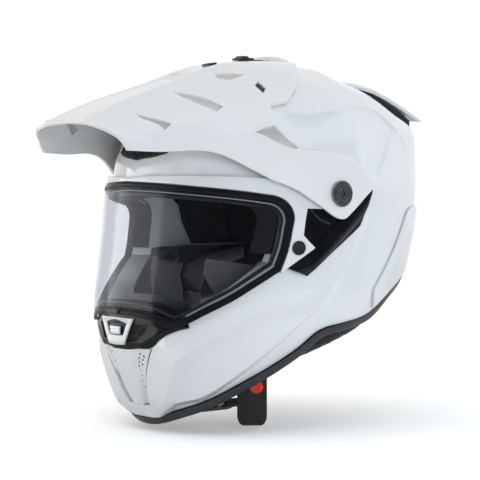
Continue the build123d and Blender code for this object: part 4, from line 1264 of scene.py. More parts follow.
# ------------------------------------------------------------------ peak
SLOT_A = peak_plan([(42.4, -112.6), (61.2, -100.7), (81.1, -87.1), (81.4, -94.8), (71.3, -103.6), (57.6, -110.2)])
SLOT_B = peak_plan([(53.7, -158.1), (60.8, -151.8), (72.7, -136.3), (73.0, -142.6), (65.4, -150.0), (58.8, -156.6)])
WEDGE = peak_side([(-69.9, 52.4), (-62.9, 55.6), (-54.5, 57.4), (-48.9, 50.8), (-37.7, 39.6), (-41.2, 38.6), (-53.8, 43.6), (-63.6, 49.6)])
TRI = peak_plan([(38.6, -63.6), (47.2, -54.5), (58.6, -45.4), (58.9, -61.5), (50.3, -67.1)])
MIDV = peak_plan([(0, -86), (11, -81), (19, -70), (12, -63), (0, -61)])
INLET = peak_plan([(73.6, -42.2), (83.7, -41.6), (87.0, -47.2), (77.0, -48.2)])
SLOTS = [(smooth(q, 1.6, True, 30), dep, w) for q, dep, w in ((SLOT_A, 2.6, 2.0), (SLOT_B, 2.4, 1.8), (WEDGE, 2.8, 1.8), (TRI, 2.2, 2.6), (INLET, 2.9, 0.8))]
MID_S = smooth(both(MIDV), 1.6, True, 30)
CREASE_1 = smooth(peak_plan([(64, -178), (72.5, -157.4), (85.6, -118), (97, -86), (103, -73), (109, -56)]), 3, False, 40)
CREASE_2 = smooth(peak_side([(-51.7, 57.4), (-34.9, 59.0), (-22.3, 53.4), (-10.4, 45.0), (6, 33), (24, 20), (37, 9)]), 3, False, 40)
RIDGE_P = smooth(peak_plan([(30, -197), (29, -170), (27, -140), (24, -110), (21, -82), (22, -55), (26, -30), (30, 0), (30, 30)]), 3, False, 40)


def peak_disp(v, base):
    q = np.stack([np.abs(v[:, 0]), v[:, 1]], 1)
    out = np.zeros(len(q))
    d = seg_dist(v, MID_S, closed=True)[0] * np.where(inside(MID_S, v), 1, -1)
    out -= 1.6 * sstep(d, -0.2, 4.5)
    # a raised lip on the rear side of each of the first two slots
    for poly, dep, w in SLOTS[:2]:
        near = (np.abs(q - poly.mean(0)) < 60).all(1)
        if near.any():
            d = seg_dist(q[near], poly, closed=True)[0]
            out[near] += 0.9 * np.clip(1 - d / 9, 0, 1) * sstep(q[near][:, 1] - poly[:, 1].mean(), -4, 8)
    d, t = seg_dist(q, RIDGE_P, signed=True)
    amp = 1 - sstep(q[:, 1], -50, -10)
    out += amp * (1.9 * np.clip(1 - np.abs(d) / 12, 0, 1) - 0.8 * np.exp(-((q[:, 0]) / 16)**2))
    d, t = seg_dist(q, CREASE_1, signed=True)
    out += 1.9 * np.clip(1 - np.abs(d) / 16, 0, 1) * sstep(t, 0, 0.1)
    d, t = seg_dist(q, CREASE_2, signed=True)
    out += 1.4 * np.clip(1 - np.abs(d) / 12, 0, 1) * (1 - sstep(t, 0.88, 1.0))
    # rolled lip along the front
    df = q[:, 1] + 196.6
    out += 0.8 * np.exp(-((df - 2.6) / 2.0)**2)
    return out


HOLES = [p_ for p_, _, _ in SLOTS]
CVH = smooth(both(peak_plan([(0, -43.3), (5.9, -43.3), (5.9, -34.2), (0, -34.2)])), 1.4, True, 30)
HOLES = HOLES + [(h * [-1, 1])[::-1] for h in HOLES] + [CVH]
feats = [(np.concatenate([MID_S, MID_S[:1]]), (0.0, 2.0)), (CREASE_1[::2], (0.0,)), (CREASE_1[::2] * [-1, 1], (0.0,)), (CREASE_2[::2], (0.0,)), (CREASE_2[::2] * [-1, 1], (0.0,)), (RIDGE_P[::2], (0.0,)), (RIDGE_P[::2] * [-1, 1], (0.0,))]


def build_peak():
    v, tri, dist = triangulate(PK, HOLES, 0.8, 2.6, feats)
    base = peak_surf(v, 0.0)
    n = normals(v, 0.0, f=peak_surf)
    # the section's own normal, read a little inside its ends
    vi = v.copy()
    vi[:, 0] = np.clip(vi[:, 0], -QS + 2.0, QS - 2.0)
    n = normals(vi, 0.0, f=peak_surf)
    n *= np.sign((n * (base - np.array([0, 10, 20]))).sum(1, keepdims=True))
    side = np.sign((np.cross(base[tri[:, 1]] - base[tri[:, 0]], base[tri[:, 2]] - base[tri[:, 0]]) * n[tri[:, 0]]).sum(1))
    tri = np.where(side[:, None] < 0, tri[:, ::-1], tri)
    # how far the drawn edge is, on the real surface
    k = np.linalg.norm(peak_surf(v + [0.5, 0]) - peak_surf(v - [0.5, 0]), axis=1)
    lift = peak_disp(v, base) - rim_drop(np.minimum(dist, 1e3), 0.8)
    top = base + n * lift[:, None]
    under = base - n * 2.9
    e = np.concatenate([tri[:, [0, 1]], tri[:, [1, 2]], tri[:, [2, 0]]])
    _, idx, cnt = np.unique(np.sort(e, 1), axis=0, return_index=True, return_counts=True)
    bd = e[idx[cnt == 1]]
    K = len(v)
    faces = [tuple(t) for t in tri] + [tuple(t[::-1] + K) for t in tri] + [(a, a + K, b + K, b) for a, b in bd]
    return new_object("peak_visor", np.concatenate([top, under]), faces, M["peakwhite"], "helmet", "peak", 35)


build_peak()

# dark inserts of the peak, and the slot floors in a grey-beige that is painted shade
def peak_patch(name, poly, mat, d, thick, node, mirror=True, rim=0.3, step=1.5, ribs=0.35, tilt=None):
    v, tri, dist = triangulate(poly, (), rim, step)
    base = peak_surf(v, 0.0)
    vi = v.copy()
    vi[:, 0] = np.clip(vi[:, 0], -QS + 2.0, QS - 2.0)
    n = normals(vi, 0.0, f=peak_surf)
    n *= np.sign((n * (base - np.array([0, 10, 20]))).sum(1, keepdims=True))
    side = np.sign((np.cross(base[tri[:, 1]] - base[tri[:, 0]], base[tri[:, 2]] - base[tri[:, 0]]) * n[tri[:, 0]]).sum(1))
    tri = np.where(side[:, None] < 0, tri[:, ::-1], tri)
    wave = ribs * np.cos(v[:, 1] * 2.4)
    dd = d + (tilt(v) if tilt else 0.0)
    top = base + n * (dd - rim_drop(dist, rim) + wave)[:, None]
    under = base + n * (dd - thick)[:, None] if tilt else base + n * (d - thick)
    e = np.concatenate([tri[:, [0, 1]], tri[:, [1, 2]], tri[:, [2, 0]]])
    _, idx, cnt = np.unique(np.sort(e, 1), axis=0, return_index=True, return_counts=True)
    bd = e[idx[cnt == 1]]
    K = len(v)
    faces = [tuple(t) for t in tri] + [tuple(t[::-1] + K) for t in tri] + [(a, a + K, b + K, b) for a, b in bd]
    verts = np.concatenate([top, under])
    if mirror:
        verts, faces = join([(verts, faces), flipped(verts, faces)])
    return new_object(name, verts, faces, mat, "helmet", node, 40)


# the slot floors take the grey-beige painted shade of the recesses
for nm, poly, dep, k in (("front", SLOTS[1][0], 2.5, 0.10), ("mid", SLOTS[0][0], 2.6, 0.07), ("side", SLOTS[2][0], 2.7, 0.05), ("top", SLOTS[3][0], 2.5, 0.05)):
    c = poly.mean(0)
    peak_patch("peak_slot_floor_" + nm, smooth(grow(poly, 1.2), 1.6, True, 30), M["slotfloor_painted_shade"], -dep, 1.0, (), True, 0.0, 2.0, 0.0, tilt=lambda v, c=c, k=k: np.clip(k * (v[:, 1] - c[1]), -0.7, 1.3))
peak_patch("peak_inlets", smooth(grow(INLET, -0.7), 1.2, True, 30), M["satin"], -1.2, 1.5, "peak_side_inlets")
CV = both(peak_plan([(0, -43), (5.5, -43), (5.5, -34.5), (0, -34.5)]))
peak_patch("peak_centre_vent", smooth(CV, 1.2, True, 30), M["satin"], 0.9, 5.0, "peak_center_vent", mirror=False, rim=0.6, ribs=0.25)

# ------------------------------------------------------------------ crown scoop and its slider
_t = np.linspace(0.55, 0.999, 220)
_u = np.linspace(0, 1, 260)
_g = point(_t[:, None], _u[None, :], LEVELS).reshape(-1, 3)


def SHELL_TREE(x, y):
    k = np.argmin((_g[:, 0] - abs(x))**2 + (_g[:, 1] - y)**2)
    return _g[k, 2]


def ridge_body(stations, name, mat, body, node, k=24, sharp=40):
    """A low body over the crown from stations (y, half width, low z, top z, crown power)."""
    rings = []
    for y, w, z0, z1, pw in stations:
        ang = np.linspace(0, math.pi, k)
        c, s_ = np.cos(ang), np.sin(ang)
        x = w * np.sign(c) * np.abs(c)**(2 / pw)
        z = z0 + (z1 - z0) * np.abs(s_)**(2 / pw)
        ring = [(a, y, b) for a, b in zip(x, z)]
        rings.append(ring)
    v, f = loft(rings, True, True)
    return new_object(name, v, f, mat, body, node, sharp)


ridge_body([(21.6, 11.0, 123.0, 127.0, 4.5), (22.6, 12.0, 122.9, 127.8, 5), (30, 12.0, 122.9, 128.2, 5), (36, 11.7, 122.7, 128.1, 4.5), (44, 10.8, 122.2, 126.9, 4), (50, 9.2, 121.7, 125.3, 3.5), (55, 7.6, 121.2, 123.7, 3), (58, 6.2, 120.8, 122.5, 2.6)],
           "crown_scoop", M["peakwhite"], "helmet", "top_vent_cover")
ridge_body([(-8, 5.0, 123.3, 124.6, 5), (-7.0, 6.3, 123.2, 125.3, 5), (-4.6, 6.4, 123.2, 125.9, 5), (-3.2, 6.4, 123.2, 127.3, 5), (2.4, 6.4, 123.2, 127.4, 5), (3.8, 6.4, 123.2, 125.9, 5), (9.3, 6.4, 123.3, 125.9, 5)],
           "crown_vent_knob", M["satin"], "crown_slider", "top_vent_slider")
ridge_body([(9.0, 3.9, 123.4, 124.5, 6), (31.8, 3.9, 123.4, 124.5, 6)], "crown_vent_shank", M["satin"], "crown_slider", (), 12)
bpy.data.objects["crown_vent_shank"].data.materials[0] = M["satin"]
# raised centre line of the crown between the scoop and the spoiler
fin = []
for y, w, hgt in ((61, 4, 0.1), (68, 6, 0.5), (78, 7, 0.8), (90, 7, 0.9), (100, 6.4, 0.8), (106, 5, 0.5), (112, 4, 0.1)):
    z0 = float(SHELL_TREE(0.0, y))
    fin.append((y, w, z0 - 3.0, z0 + hgt, 2.6))
ridge_body(fin, "crown_fin", M["white"], "helmet", ())

# ------------------------------------------------------------------ rear spoiler
def spoiler():
    top = [(108.5, 105.6), (113, 105.0), (122, 103.4), (135, 100.4), (148, 95.2), (160, 89.6), (172, 83.6), (184, 77.3), (191.3, 73.4)]
    bot_ = [(108.5, 102.4), (113, 101.6), (122, 100.0), (134, 96.8), (147, 91.6), (159, 86.0), (171, 80.2), (183, 73.9), (191.0, 70.4)]
    wid = [22, 27, 35, 38, 40, 41.5, 42.6, 43.6, 43.6]
    rings = []
    for (y, z1), (yb, z0), w in zip(top, bot_, wid):
        ring = []
        for t in np.linspace(-1, 1, 21):
            rise = 1.4 * math.exp(-((abs(t) - 0.72) / 0.12)**2) - 2.6 * max(0, abs(t) - 0.86) / 0.14
            ring.append((w * t, y, z1 + rise))
        for t in np.linspace(1, -1, 21):
            ring.append((w * t * 0.985, yb, z0 - (1.6 * max(0, abs(t) - 0.86) / 0.14)))
        rings.append(ring)
    v, f = loft(rings)
    return new_object("spoiler_blade", v, f, M["white"], "helmet", "rear_spoiler", 38)


spoiler()


def spoiler_wedge():
    rings = []
    for y, zt, zb, w in ((118.5, 99.3, 92, 33), (126, 96.8, 86, 35.4), (134, 94.0, 80, 36.4), (146, 88.8, 74, 36.6), (158, 83.4, 68, 36.8), (170, 77.8, 62, 36.8), (183, 71.2, 57, 36.2)):
        ring = []
        for t in np.linspace(-1, 1, 15):
            ring.append((w * t, y, zt - 0.2))
        for t in np.linspace(1, -1, 15):
            ring.append((w * t, y, zb))
        rings.append(ring)
    v, f = loft(rings)
    # the lower side follows the shell, 0.8 mm above it
    v = np.array(v)
    for i in range(len(v)):
        x, y, z = v[i]
        g = SHELL_TREE(x, y)
        v[i, 2] = max(v[i, 2], g + 0.9 - 4.3 * float(1 - sstep(y, 148, 176)))
    return new_object("spoiler_body", v, f, M["satin"], "helmet", "spoiler_insert", 38)


spoiler_wedge()

# ------------------------------------------------------------------ lining
def pad_disp(edge_poly, rise, seams=(), w=10.0, rib=None):
    def f(v, base):
        d = seg_dist(v, edge_poly, closed=True)[0]
        out = rise * (sstep(d, 0, w)**0.7 - 1.0)
        for line, dep, wid in seams:
            ds, t = seg_dist(v, line)
            out -= dep * np.exp(-(ds / wid)**2) * sstep(d, 1, 5)
        if rib is not None:
            out += rib(v, d)
        return out
    return f


def tube_path(p, r, seg=8, close=False):
    p = np.asarray(p, float)
    t = np.gradient(p, axis=0)
    t /= np.linalg.norm(t, axis=1, keepdims=True)
    ref = np.array([0.3, 0.2, 0.93])
    rings = []
    for i in range(len(p)):
        a = np.cross(t[i], ref)
        a /= np.linalg.norm(a)
        b = np.cross(t[i], a)
        rings.append([p[i] + r * (math.cos(q) * a + math.sin(q) * b) for q in np.arange(seg) * 2 * math.pi / seg])
    return loft(rings)


def stitches(line, d, sgn=-1.0, length=2.6, gap=1.4, r=0.28):
    """A row of short threads on the lining, along a chart line."""
    line = dense(line, 0.8, False)
    L = np.concatenate([[0], np.cumsum(np.linalg.norm(np.diff(line, axis=0), axis=1))])
    parts = []
    s0 = 0.0
    while s0 + length < L[-1]:
        t = np.linspace(s0, s0 + length, 5)
        q = np.stack([np.interp(t, L, line[:, 0]), np.interp(t, L, line[:, 1])], 1)
        n = normals(q, d)
        lift_ = np.array([-0.3, 0.25, 0.35, 0.25, -0.3])
        parts.append(tube_path(surf(q, d) + sgn * n * lift_[:, None], r, 5))
        s0 += length + gap
    return join(parts)


CHEEK = [(-63, -66), (-44, -58), (-20, -54.6), (44, -54.6), (45.6, -103.4), (26.9, -107.4), (-3, -113.4), (-22.2, -127), (-44, -140.4), (-62, -149.4), (-65.6, -130), (-63.8, -90)]
for side, s in (("left", 1), ("right", -1)):
    ck = chart_side(CHEEK, s)
    cks = smooth(ck, 2.6, True, 30)
    seam1 = smooth(chart_side([(-30, -56), (-34, -80), (-26, -104), (-30, -131)], s), 3, False, 40)
    seam2 = smooth(chart_side([(-63, -100), (-34, -86)], s), 3, False, 40)
    o = patch("cheek_pad_" + side, cks, M["knit2"], d=-47.0, thick=38.5, rim=4.5, step=3.0, inward=True, node="cheek_pad_" + side,
              disp=pad_disp(cks, 3.0, [(seam1, 2.6, 2.0), (seam2, 2.0, 1.8)], 14.0), rings=(0.05, 0.15, 0.35, 0.65, 1.0), sharp=60)
    # a raised brushed panel on the pad, with its stitching
    pan = chart_side([(-58, -73), (-38, -66), (-36, -80), (-30, -100), (-36, -122), (-56, -134), (-58.5, -112)], s)
    ps = smooth(pan, 2.4, True, 26)
    o = patch("cheek_panel_" + side, ps, M["suede"], d=-49.6, thick=3.0, rim=2.2, step=2.6, inward=True,
              disp=pad_disp(ps, 1.4, [], 8.0), rings=(0.1, 0.3, 0.6, 1.0), sharp=60)
    st = stitches(np.concatenate([grow(ps, -2.6), grow(ps, -2.6)[:1]]), -50.0)
    new_object("cheek_stitch_" + side, st[0], st[1], M["knit"], "helmet", (), 60)

FINGERS = {
    "upper": [(67.2, 154.8), (171.6, 146.4), (164.4, 133.2), (170.4, 117.6), (175.2, 96.0), (153.6, 93.6), (127.2, 97.2), (104.4, 110.4), (78.0, 129.6), (66.0, 141.6)],
    "rear": [(178.8, 144.0), (202.8, 151.2), (224.4, 154.8), (279.6, 162.0), (280.8, 150.0), (240.0, 139.2), (214.8, 128.4), (207.6, 114.0), (181.2, 128.4), (171.6, 133.2)],
    "tab": [(178.8, 117.6), (208.8, 114.0), (208.8, 99.6), (188.4, 98.4), (176.4, 106.8)]}
for side, s in (("left", 1), ("right", -1)):
    for part_, pts in FINGERS.items():
        fp = smooth(np.array(pts, float) * [s, 1], 2.6, True, 26)
        th = 7.0 if part_ != "tab" else 5.0
        o = patch("pad_%s_%s" % (part_, side), fp, {"upper": M["mesh"], "rear": M["mesh"], "tab": M["suede"]}[part_], d=-52.0, thick=th, rim=3.0, step=2.8, inward=True,
                  disp=pad_disp(fp, 2.4, [], 9.0), rings=(0.08, 0.25, 0.55, 1.0), sharp=60)

CROWN_L = [(-22.4, 23), (-80, 27.5), (-150, 30), (-150, 116), (200, 116), (200, -52.4), (9.4, -52.4), (-5.4, -30), (-16.4, 4)]


def crown_liner():
    top_h = np.interp(np.interp(117.0, ZT, TT), TT, HT)
    side_pts = chart_side([(-22.4, 23), (-16.4, 4), (-5.4, -30), (9.4, -52.4)])
    rear_low = np.array([[S_MAX - 0.01, np.interp(np.interp(-52.4, ZT, TT), TT, HT)]])
    low = chart_side([(60, -52.4), (120, -52.4)])
    front_low = np.array([[0, np.interp(np.interp(30, ZT, TT), TT, HT)]])
    fr = chart_side([(-80, 28)])
    half = np.concatenate([front_low, fr, side_pts, low, rear_low, [[S_MAX - 0.01, top_h]], [[0, top_h]]])
    out = dense(half, 3.2, True)
    seams = [smooth(chart_side([(60, -50), (50, 0), (30, 40), (20, 80)]), 4, False, 40), smooth(chart_side([(110, -50), (104, 0), (84, 50), (60, 90)]), 4, False, 40),
             smooth(chart_side([(-14, 12), (40, 20), (110, 10), (178, 0)]), 4, False, 40), smooth(np.array([[22, front_low[0, 1] + 4], [26, front_low[0, 1] + 60], [40, front_low[0, 1] + 110]]), 4, False, 40)]
    v, tri, dist = triangulate(out, (), 0, 4.2, [(q[::2], (0.0,)) for q in seams])
    on_axis = (v[:, 0] < 1e-3) | (v[:, 0] > S_MAX - 0.02) | (v[:, 1] > top_h - 0.02)
    real = seg_dist(v, np.concatenate([front_low, dense(np.concatenate([fr, side_pts, low, rear_low]), 3, False)]))[0]
    n = normals(v, 0.0)
    lift = -3.0 * (1 - sstep(real, 0, 12)**0.7)
    for q in seams:
        lift -= 2.2 * np.exp(-(seg_dist(v, q)[0] / 2.4)**2)
    inn = surf(v, -39.6) - n * lift[:, None]
    outb = surf(v, -31.0)
    for arr in (inn, outb):
        arr[v[:, 0] < 1e-3, 0] = 0
        arr[v[:, 0] > S_MAX - 0.02, 0] = 0
    e = np.concatenate([tri[:, [0, 1]], tri[:, [1, 2]], tri[:, [2, 0]]])
    _, idx, cnt = np.unique(np.sort(e, 1), axis=0, return_index=True, return_counts=True)
    bd = e[idx[cnt == 1]]
    bd = bd[~(on_axis[bd[:, 0]] & on_axis[bd[:, 1]])]
    K = len(v)
    faces = [tuple(t[::-1]) for t in tri] + [tuple(t + K) for t in tri] + [(b, b + K, a + K, a) for a, b in bd]
    verts = np.concatenate([inn, outb])
    verts, faces = join([(verts, faces), flipped(verts, faces)])
    o = new_object("crown_lining", verts, faces, M["knit"], "helmet", "crown_liner", 60)


crown_liner()

NECK = [(47.6, -54.6), (195, -54.6), (195, -61), (150, -64), (122, -70.5), (96.3, -81), (62.6, -99.2), (48.2, -102.5)]


def neck_roll():
    pts = chart_side([(47.6, -54.6), (48.2, -102.5), (62.6, -99.2), (96.3, -81), (122, -70.5), (150, -64)])
    pts = centred_rear(pts)
    t0, t1 = [np.interp(np.interp(z, ZT, TT), TT, HT) for z in (-54.6, -62.0)]
    half = np.concatenate([[[0, t0]], pts, [[0, t1]]])
    NR = smooth(both(half), 2.8, True, 24)
    v, tri, dist = triangulate(NR, (), 3.0, 3.0, (), (0.08, 0.25, 0.55, 1.0))
    base, outb = surf_rear(v, -43.0), surf_rear(v, -5.6)
    n = normals(v, -43.0, f=surf_rear)
    n *= np.sign((n * (base - np.array([0, 10, -80]))).sum(1, keepdims=True))
    side = np.sign((np.cross(base[tri[:, 1]] - base[tri[:, 0]], base[tri[:, 2]] - base[tri[:, 0]]) * n[tri[:, 0]]).sum(1))
    tri = np.where(side[:, None] > 0, tri[:, ::-1], tri)
    top = base + n * (2.6 * (1 - sstep(dist, 0, 9)**0.7))[:, None]
    e = np.concatenate([tri[:, [0, 1]], tri[:, [1, 2]], tri[:, [2, 0]]])
    _, idx, cnt = np.unique(np.sort(e, 1), axis=0, return_index=True, return_counts=True)
    bd = e[idx[cnt == 1]]
    K = len(v)
    faces = [tuple(t) for t in tri] + [tuple(t[::-1] + K) for t in tri] + [(a, a + K, b + K, b) for a, b in bd]
    o = new_object("neck_pad", np.concatenate([top, outb]), faces, M["leatherette"], "helmet", "neck_roll", 60)


neck_roll()


def neck_lip(s):
    """The soft bound edge of the lining that shows below the shell's lower edge."""
    c = surf(smooth(chart_side([(-38, -147), (-25, -142.3), (15, -130), (52, -118.6), (68, -112)]), 2.4, False, 60), -9.0)
    tq = np.arange(len(c)) * 2.4
    t = np.gradient(c, axis=0)
    t /= np.linalg.norm(t, axis=1, keepdims=True)
    rings = []
    for i in range(len(c)):
        a = np.cross(t[i], (0, 0, 1.0))
        a /= np.linalg.norm(a)
        b = np.cross(a, t[i])
        r = 5.2 * (0.25 + 0.75 * math.sin(math.pi / 2 * min(1, (i + 0.4) / 5, (len(c) - i - 0.6) / 5)))
        r *= 1 + 0.035 * math.sin(tq[i] / 3.1) * math.sin(tq[i] / 7.7)
        rings.append([c[i] + r * (math.cos(k) * a * 0.85 + math.sin(k) * b * 1.15) for k in np.arange(14) * 2 * math.pi / 14])
    v, f = loft(rings)
    if s < 0:
        v, f = flipped(v, f)
    o = new_object("neck_lip_" + ("left" if s > 0 else "right"), v, f, M["knit"], "helmet", (), 60)


neck_lip(1)
neck_lip(-1)

# foam pieces carried over from the frame, with their own finish; the foam finish paints near-black shade on their cut
# edges
for node, mat in (("eps_liner", "foam"), ("chin_eps", "foam"), ("pivot_bushing_left", "satin"), ("pivot_bushing_right", "satin"), ("pivot_nut_left", "steel"), ("pivot_nut_right", "steel"), ("breath_guard", "satin"),
                  ("strap_anchor_left", "satin"), ("strap_anchor_right", "satin"), ("d_rings", "gold")):
    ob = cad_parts[node]
    ob.data.materials.clear()
    ob.data.materials.append(M[mat])

# ------------------------------------------------------------------ chin strap
ANG = math.radians(51.0)
CA, SA = math.cos(ANG), math.sin(ANG)
STRAP = np.array([62.0, -39.0])


def strap_band(path, width, thick, wdir, name, mat, node, wave=0.0, foot=None):
    """A flat woven strap along a path of points, its width along wdir."""
    p = np.asarray(path, float)
    t = np.gradient(p, axis=0)
    t /= np.linalg.norm(t, axis=1, keepdims=True)
    wd = np.array(wdir, float)
    wd /= np.linalg.norm(wd)
    sec0 = section(width, thick, thick * 0.45, 4)
    rings = []
    for i in range(len(p)):
        nn = np.cross(t[i], wd)
        nn /= np.linalg.norm(nn)
        k_ = 1.0 if foot is None else 1 - 2 * 6.0 / width * (1 - math.sqrt(max(0.0, 1 - min(1.0, max(0.0, (foot - p[i][2]) / 8.5))**2)))
        sec = [(a * k_, b) for a, b in sec0]
        ring = [p[i] + wd * a + nn * (b + wave * (math.cos(a * 2 * math.pi / 9.0) if abs(a) < width * 0.42 else 0) * (1 if b > 0 else -1)) for a, b in sec]
        rings.append(ring)
    v, f = loft(rings)
    return new_object(name, v, f, mat, "helmet", node, 45)


def loop_path():
    out = []
    r = 3.3
    for z in np.linspace(-123, -202.6, 34):
        out.append((r, z))
    for a in np.linspace(0, math.pi, 12)[1:-1]:
        out.append((r * math.cos(a), -202.6 - r * math.sin(a)))
    for z in np.linspace(-202.6, -123, 34):
        out.append((-r, z))
    return [(STRAP[0] + n * SA, STRAP[1] - n * CA, z) for n, z in out]


strap_band(loop_path(), 26.6, 1.9, (CA, SA, 0), "strap_loop", M["webbing"], "chin_strap_left", wave=0.0, foot=-197.6)
# stitched edges on the loop
parts = []
for off in (-11.4, 11.4):
    z = -128.0
    while z > -194:
        zz = np.linspace(z, z - 2.4, 4)
        up_ = np.array([4.15, 4.5, 4.5, 4.15])
        parts.append(tube_path([(STRAP[0] + n * SA + off * CA, STRAP[1] - n * CA + off * SA, q) for n, q in zip(up_, zz)], 0.3, 5))
        z -= 4.0
tv, tf = join(parts)
new_object("strap_loop_thread", tv, tf, M["knit"], "helmet", (), 60)
# press stud
ax = frame_axes((SA, -CA, 0))
pv, pf = lathe([(4.5, 0), (4.5, 6.1), (5.0, 6.3), (5.8, 6.2), (6.5, 5.6), (6.9, 4.6), (7.05, 3.6), (6.7, 2.9), (6.6, 0)], 48)
centre = np.array([STRAP[0] + 2.2, STRAP[1] + 2.7, -171.5])
pv = centre + pv @ ax
rim_v, rim_f = lathe([(6.55, 0), (6.55, 1.6), (6.9, 1.7), (7.1, 1.2), (7.1, 0)], 24)
rim_v = centre + rim_v @ ax
sn = join([(pv, pf), (rim_v, rim_f)])
new_object("strap_stud", sn[0], sn[1], M["red"], "helmet", "strap_snap", 40)

ROUTE = [(-80, -112), (-77, -130), (-72, -150), (-63, -168), (-50, -181), (-34, -190), (-16, -195), (2, -196.5), (18, -195), (29.4, -191.0)]
rt = smooth(np.array(ROUTE, float), 2.4, False, 60)
strap_band([(x, -37.5, z) for x, z in rt], 26.6, 2.2, (0, 1, 0), "strap_run", M["webbing_r"], "chin_strap_right")
ex, ez = 0.945, 0.327
loop_pts = []
for r in (2.9,):
    for t in np.linspace(-math.pi / 2, math.pi / 2, 10):
        loop_pts.append((1.7 + r * math.cos(t), r * math.sin(t)))
    for t in np.linspace(-math.pi / 2, math.pi / 2, 10):
        loop_pts.append((-1.7 - r * math.cos(t), -r * math.sin(t)))
loop_pts.append(loop_pts[0])
strap_band([(33.6 + u * ex - v * ez, -37.5, -189.4 + u * ez + v * ex) for u, v in loop_pts], 22.8, 1.7, (0, 1, 0), "strap_ring_loop", M["webbing_r"], ())

pad_rt = smooth(np.array([(-57, -174.6), (-46, -184), (-32, -191), (-16, -195.2), (0, -196.5), (13.5, -195.6)], float), 2.4, False, 60)


def throat_pad():
    p = np.array([(x, -37.5, z) for x, z in pad_rt])
    t = np.gradient(p, axis=0)
    t /= np.linalg.norm(t, axis=1, keepdims=True)
    rings = []
    k = len(p)
    for i in range(k):
        nn = np.cross(t[i], (0, 1, 0))
        endw = min(1.0, 0.25 + 0.75 * math.sin(math.pi * min(1, (i + 0.6) / 5) / 2) if i < k / 2 else 0.25 + 0.75 * math.sin(math.pi * min(1, (k - 1 - i + 0.6) / 5) / 2))
        sec = section(33 * (0.86 + 0.14 * endw), 7.6 * (0.35 + 0.65 * endw), 3.0 * (0.35 + 0.65 * endw), 6)
        quilt = 1 - 0.10 * math.exp(-(((i % 8) - 4) / 0.9)**2)
        rings.append([p[i] + np.array((0, 1, 0)) * a + nn * b * quilt for a, b in sec])
    v, f = loft(rings)
    o = new_object("throat_pad", v, f, M["mesh"], "helmet", "strap_pad", 60)


throat_pad()

# ------------------------------------------------------------------ camera, floor, light
AZ, EL, DIST = math.radians(51.0), math.radians(2.0), 1.5
b_ = Vector((math.sin(AZ) * math.cos(EL), -math.cos(AZ) * math.cos(EL), math.sin(EL)))
r_ = Vector((math.cos(AZ), math.sin(AZ), 0))
target = Vector((0, 0.009, -0.044)) - r_ * 0.009
cam_data = bpy.data.cameras.new("camera")
cam_data.sensor_width = 36.0
cam_data.lens = 120.0
cam_data.clip_end = 50
cam = bpy.data.objects.new("camera", cam_data)
cam.location = target + b_ * DIST
cam.rotation_euler = b_.to_track_quat("Z", "Y").to_euler()
bpy.context.scene.collection.objects.link(cam)
bpy.context.scene.camera = cam

fm = bpy.data.meshes.new("floor")
fm.from_pydata([(0.62 * math.cos(a * math.pi / 48), 0.62 * math.sin(a * math.pi / 48), -0.2115) for a in range(96)], [], [tuple(range(96))])
floor = bpy.data.objects.new("floor", fm)
bpy.context.scene.collection.objects.link(floor)
def floor_build(nt, b):
    lp_ = N(nt, "ShaderNodeLightPath")
    mx_ = N(nt, "ShaderNodeMix", data_type="RGBA")
    mx_.inputs[6].default_value, mx_.inputs[7].default_value = (0.74, 0.73, 0.72, 1), (0.98, 0.98, 0.98, 1)
    nt.links.new(lp_.outputs["Is Camera Ray"], mx_.inputs[0])
    nt.links.new(mx_.outputs[2], b.inputs["Base Color"])
    em_ = N(nt, "ShaderNodeMath", operation="MULTIPLY")
    em_.inputs[1].default_value = 0.2
    nt.links.new(lp_.outputs["Is Camera Ray"], em_.inputs[0])
    nt.links.new(em_.outputs["Value"], b.inputs["Emission Strength"])
    b.inputs["Emission Color"].default_value = (1, 1, 1, 1)


fmat = material("pale_floor", (0.93, 0.93, 0.93), 0.9, build=floor_build)
fm.materials.append(fmat)

world = bpy.data.worlds.new("studio")
bpy.context.scene.world = world
world.use_nodes = True
wn = world.node_tree
tc = N(wn, "ShaderNodeTexCoord")
sx = N(wn, "ShaderNodeSeparateXYZ")
wn.links.new(tc.outputs["Generated"], sx.inputs["Vector"])
dot = N(wn, "ShaderNodeVectorMath", operation="DOT_PRODUCT")
dot.inputs[1].default_value = (0.934, -0.358, 0.0)
wn.links.new(tc.outputs["Generated"], dot.inputs[0])


def world_range(src, a0, a1, b0, b1):
    m = N(wn, "ShaderNodeMapRange", interpolation_type="SMOOTHSTEP")
    for k, x in (("From Min", a0), ("From Max", a1), ("To Min", b0), ("To Max", b1)):
        m.inputs[k].default_value = x
    wn.links.new(src, m.inputs["Value"])
    return m.outputs["Result"]


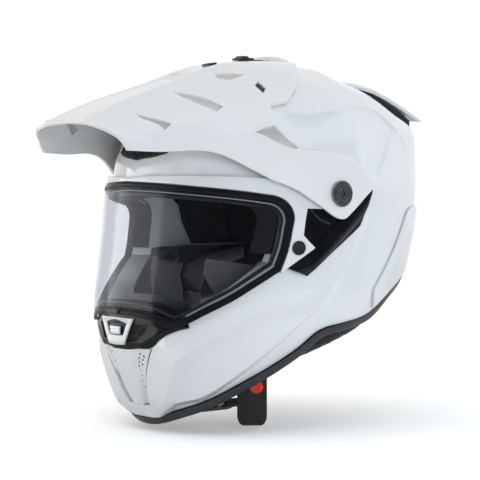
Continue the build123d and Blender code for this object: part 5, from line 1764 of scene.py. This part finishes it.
flag = N(wn, "ShaderNodeMath", operation="MULTIPLY")
wn.links.new(world_range(dot.outputs["Value"], 0.24, 0.35, 0.0, 1.0), flag.inputs[0])
wn.links.new(world_range(sx.outputs["Z"], 0.62, 0.82, 1.0, 0.0), flag.inputs[1])
tint = N(wn, "ShaderNodeMix", data_type="RGBA")
tint.inputs["A"].default_value = (1.0, 1.0, 1.0, 1)
tint.inputs["B"].default_value = (0.80, 0.90, 1.0, 1)
wn.links.new(world_range(sx.outputs["X"], 0.0, 0.9, 0.0, 1.0), tint.inputs["Factor"])
shade = N(wn, "ShaderNodeMix", data_type="RGBA")
wn.links.new(tint.outputs["Result"], shade.inputs["A"])
shade.inputs["B"].default_value = (0.10, 0.115, 0.14, 1)
wn.links.new(flag.outputs["Value"], shade.inputs["Factor"])
lp = N(wn, "ShaderNodeLightPath")
low = N(wn, "ShaderNodeVectorMath", operation="SCALE")
wn.links.new(shade.outputs["Result"], low.inputs[0])
wn.links.new(world_range(sx.outputs["Z"], -0.35, 0.05, 0.5, 1.0), low.inputs["Scale"])
seen = N(wn, "ShaderNodeMix", data_type="RGBA")
wn.links.new(low.outputs["Vector"], seen.inputs["A"])
seen.inputs["B"].default_value = (1.09, 1.09, 1.09, 1)
wn.links.new(lp.outputs["Is Camera Ray"], seen.inputs["Factor"])
wn.links.new(seen.outputs["Result"], wn.nodes["Background"].inputs["Color"])
wn.nodes["Background"].inputs["Strength"].default_value = 0.95


def area(name, loc, aim, size, power, color=(1, 1, 1)):
    l = bpy.data.lights.new(name, "AREA")
    l.shape = "RECTANGLE"
    l.size, l.size_y = size
    l.energy = power
    l.color = color
    o = bpy.data.objects.new(name, l)
    o.location = loc
    o.rotation_euler = (Vector(loc) - Vector(aim)).to_track_quat("Z", "Y").to_euler()
    bpy.context.scene.collection.objects.link(o)
    return o


area("key_top", (0.2, -0.7, 1.7), (0, 0, 0), (1.6, 1.2), 2)
area("front_left", (-1.07, -1.47, -0.02), (0, 0, 0.02), (2.3, 0.9), 13, (1.0, 0.985, 0.965))
area("side_fill", (1.70, -0.52, 0.08), (0, 0, -0.04), (1.4, 1.2), 21, (0.90, 0.965, 1.0)).visible_glossy = False
area("rear_fill", (1.35, 1.35, 0.35), (0, 0, 0), (1.2, 1.2), 7, (0.94, 0.98, 1.0)).visible_glossy = False
bpy.context.scene.view_settings.view_transform = "Standard"
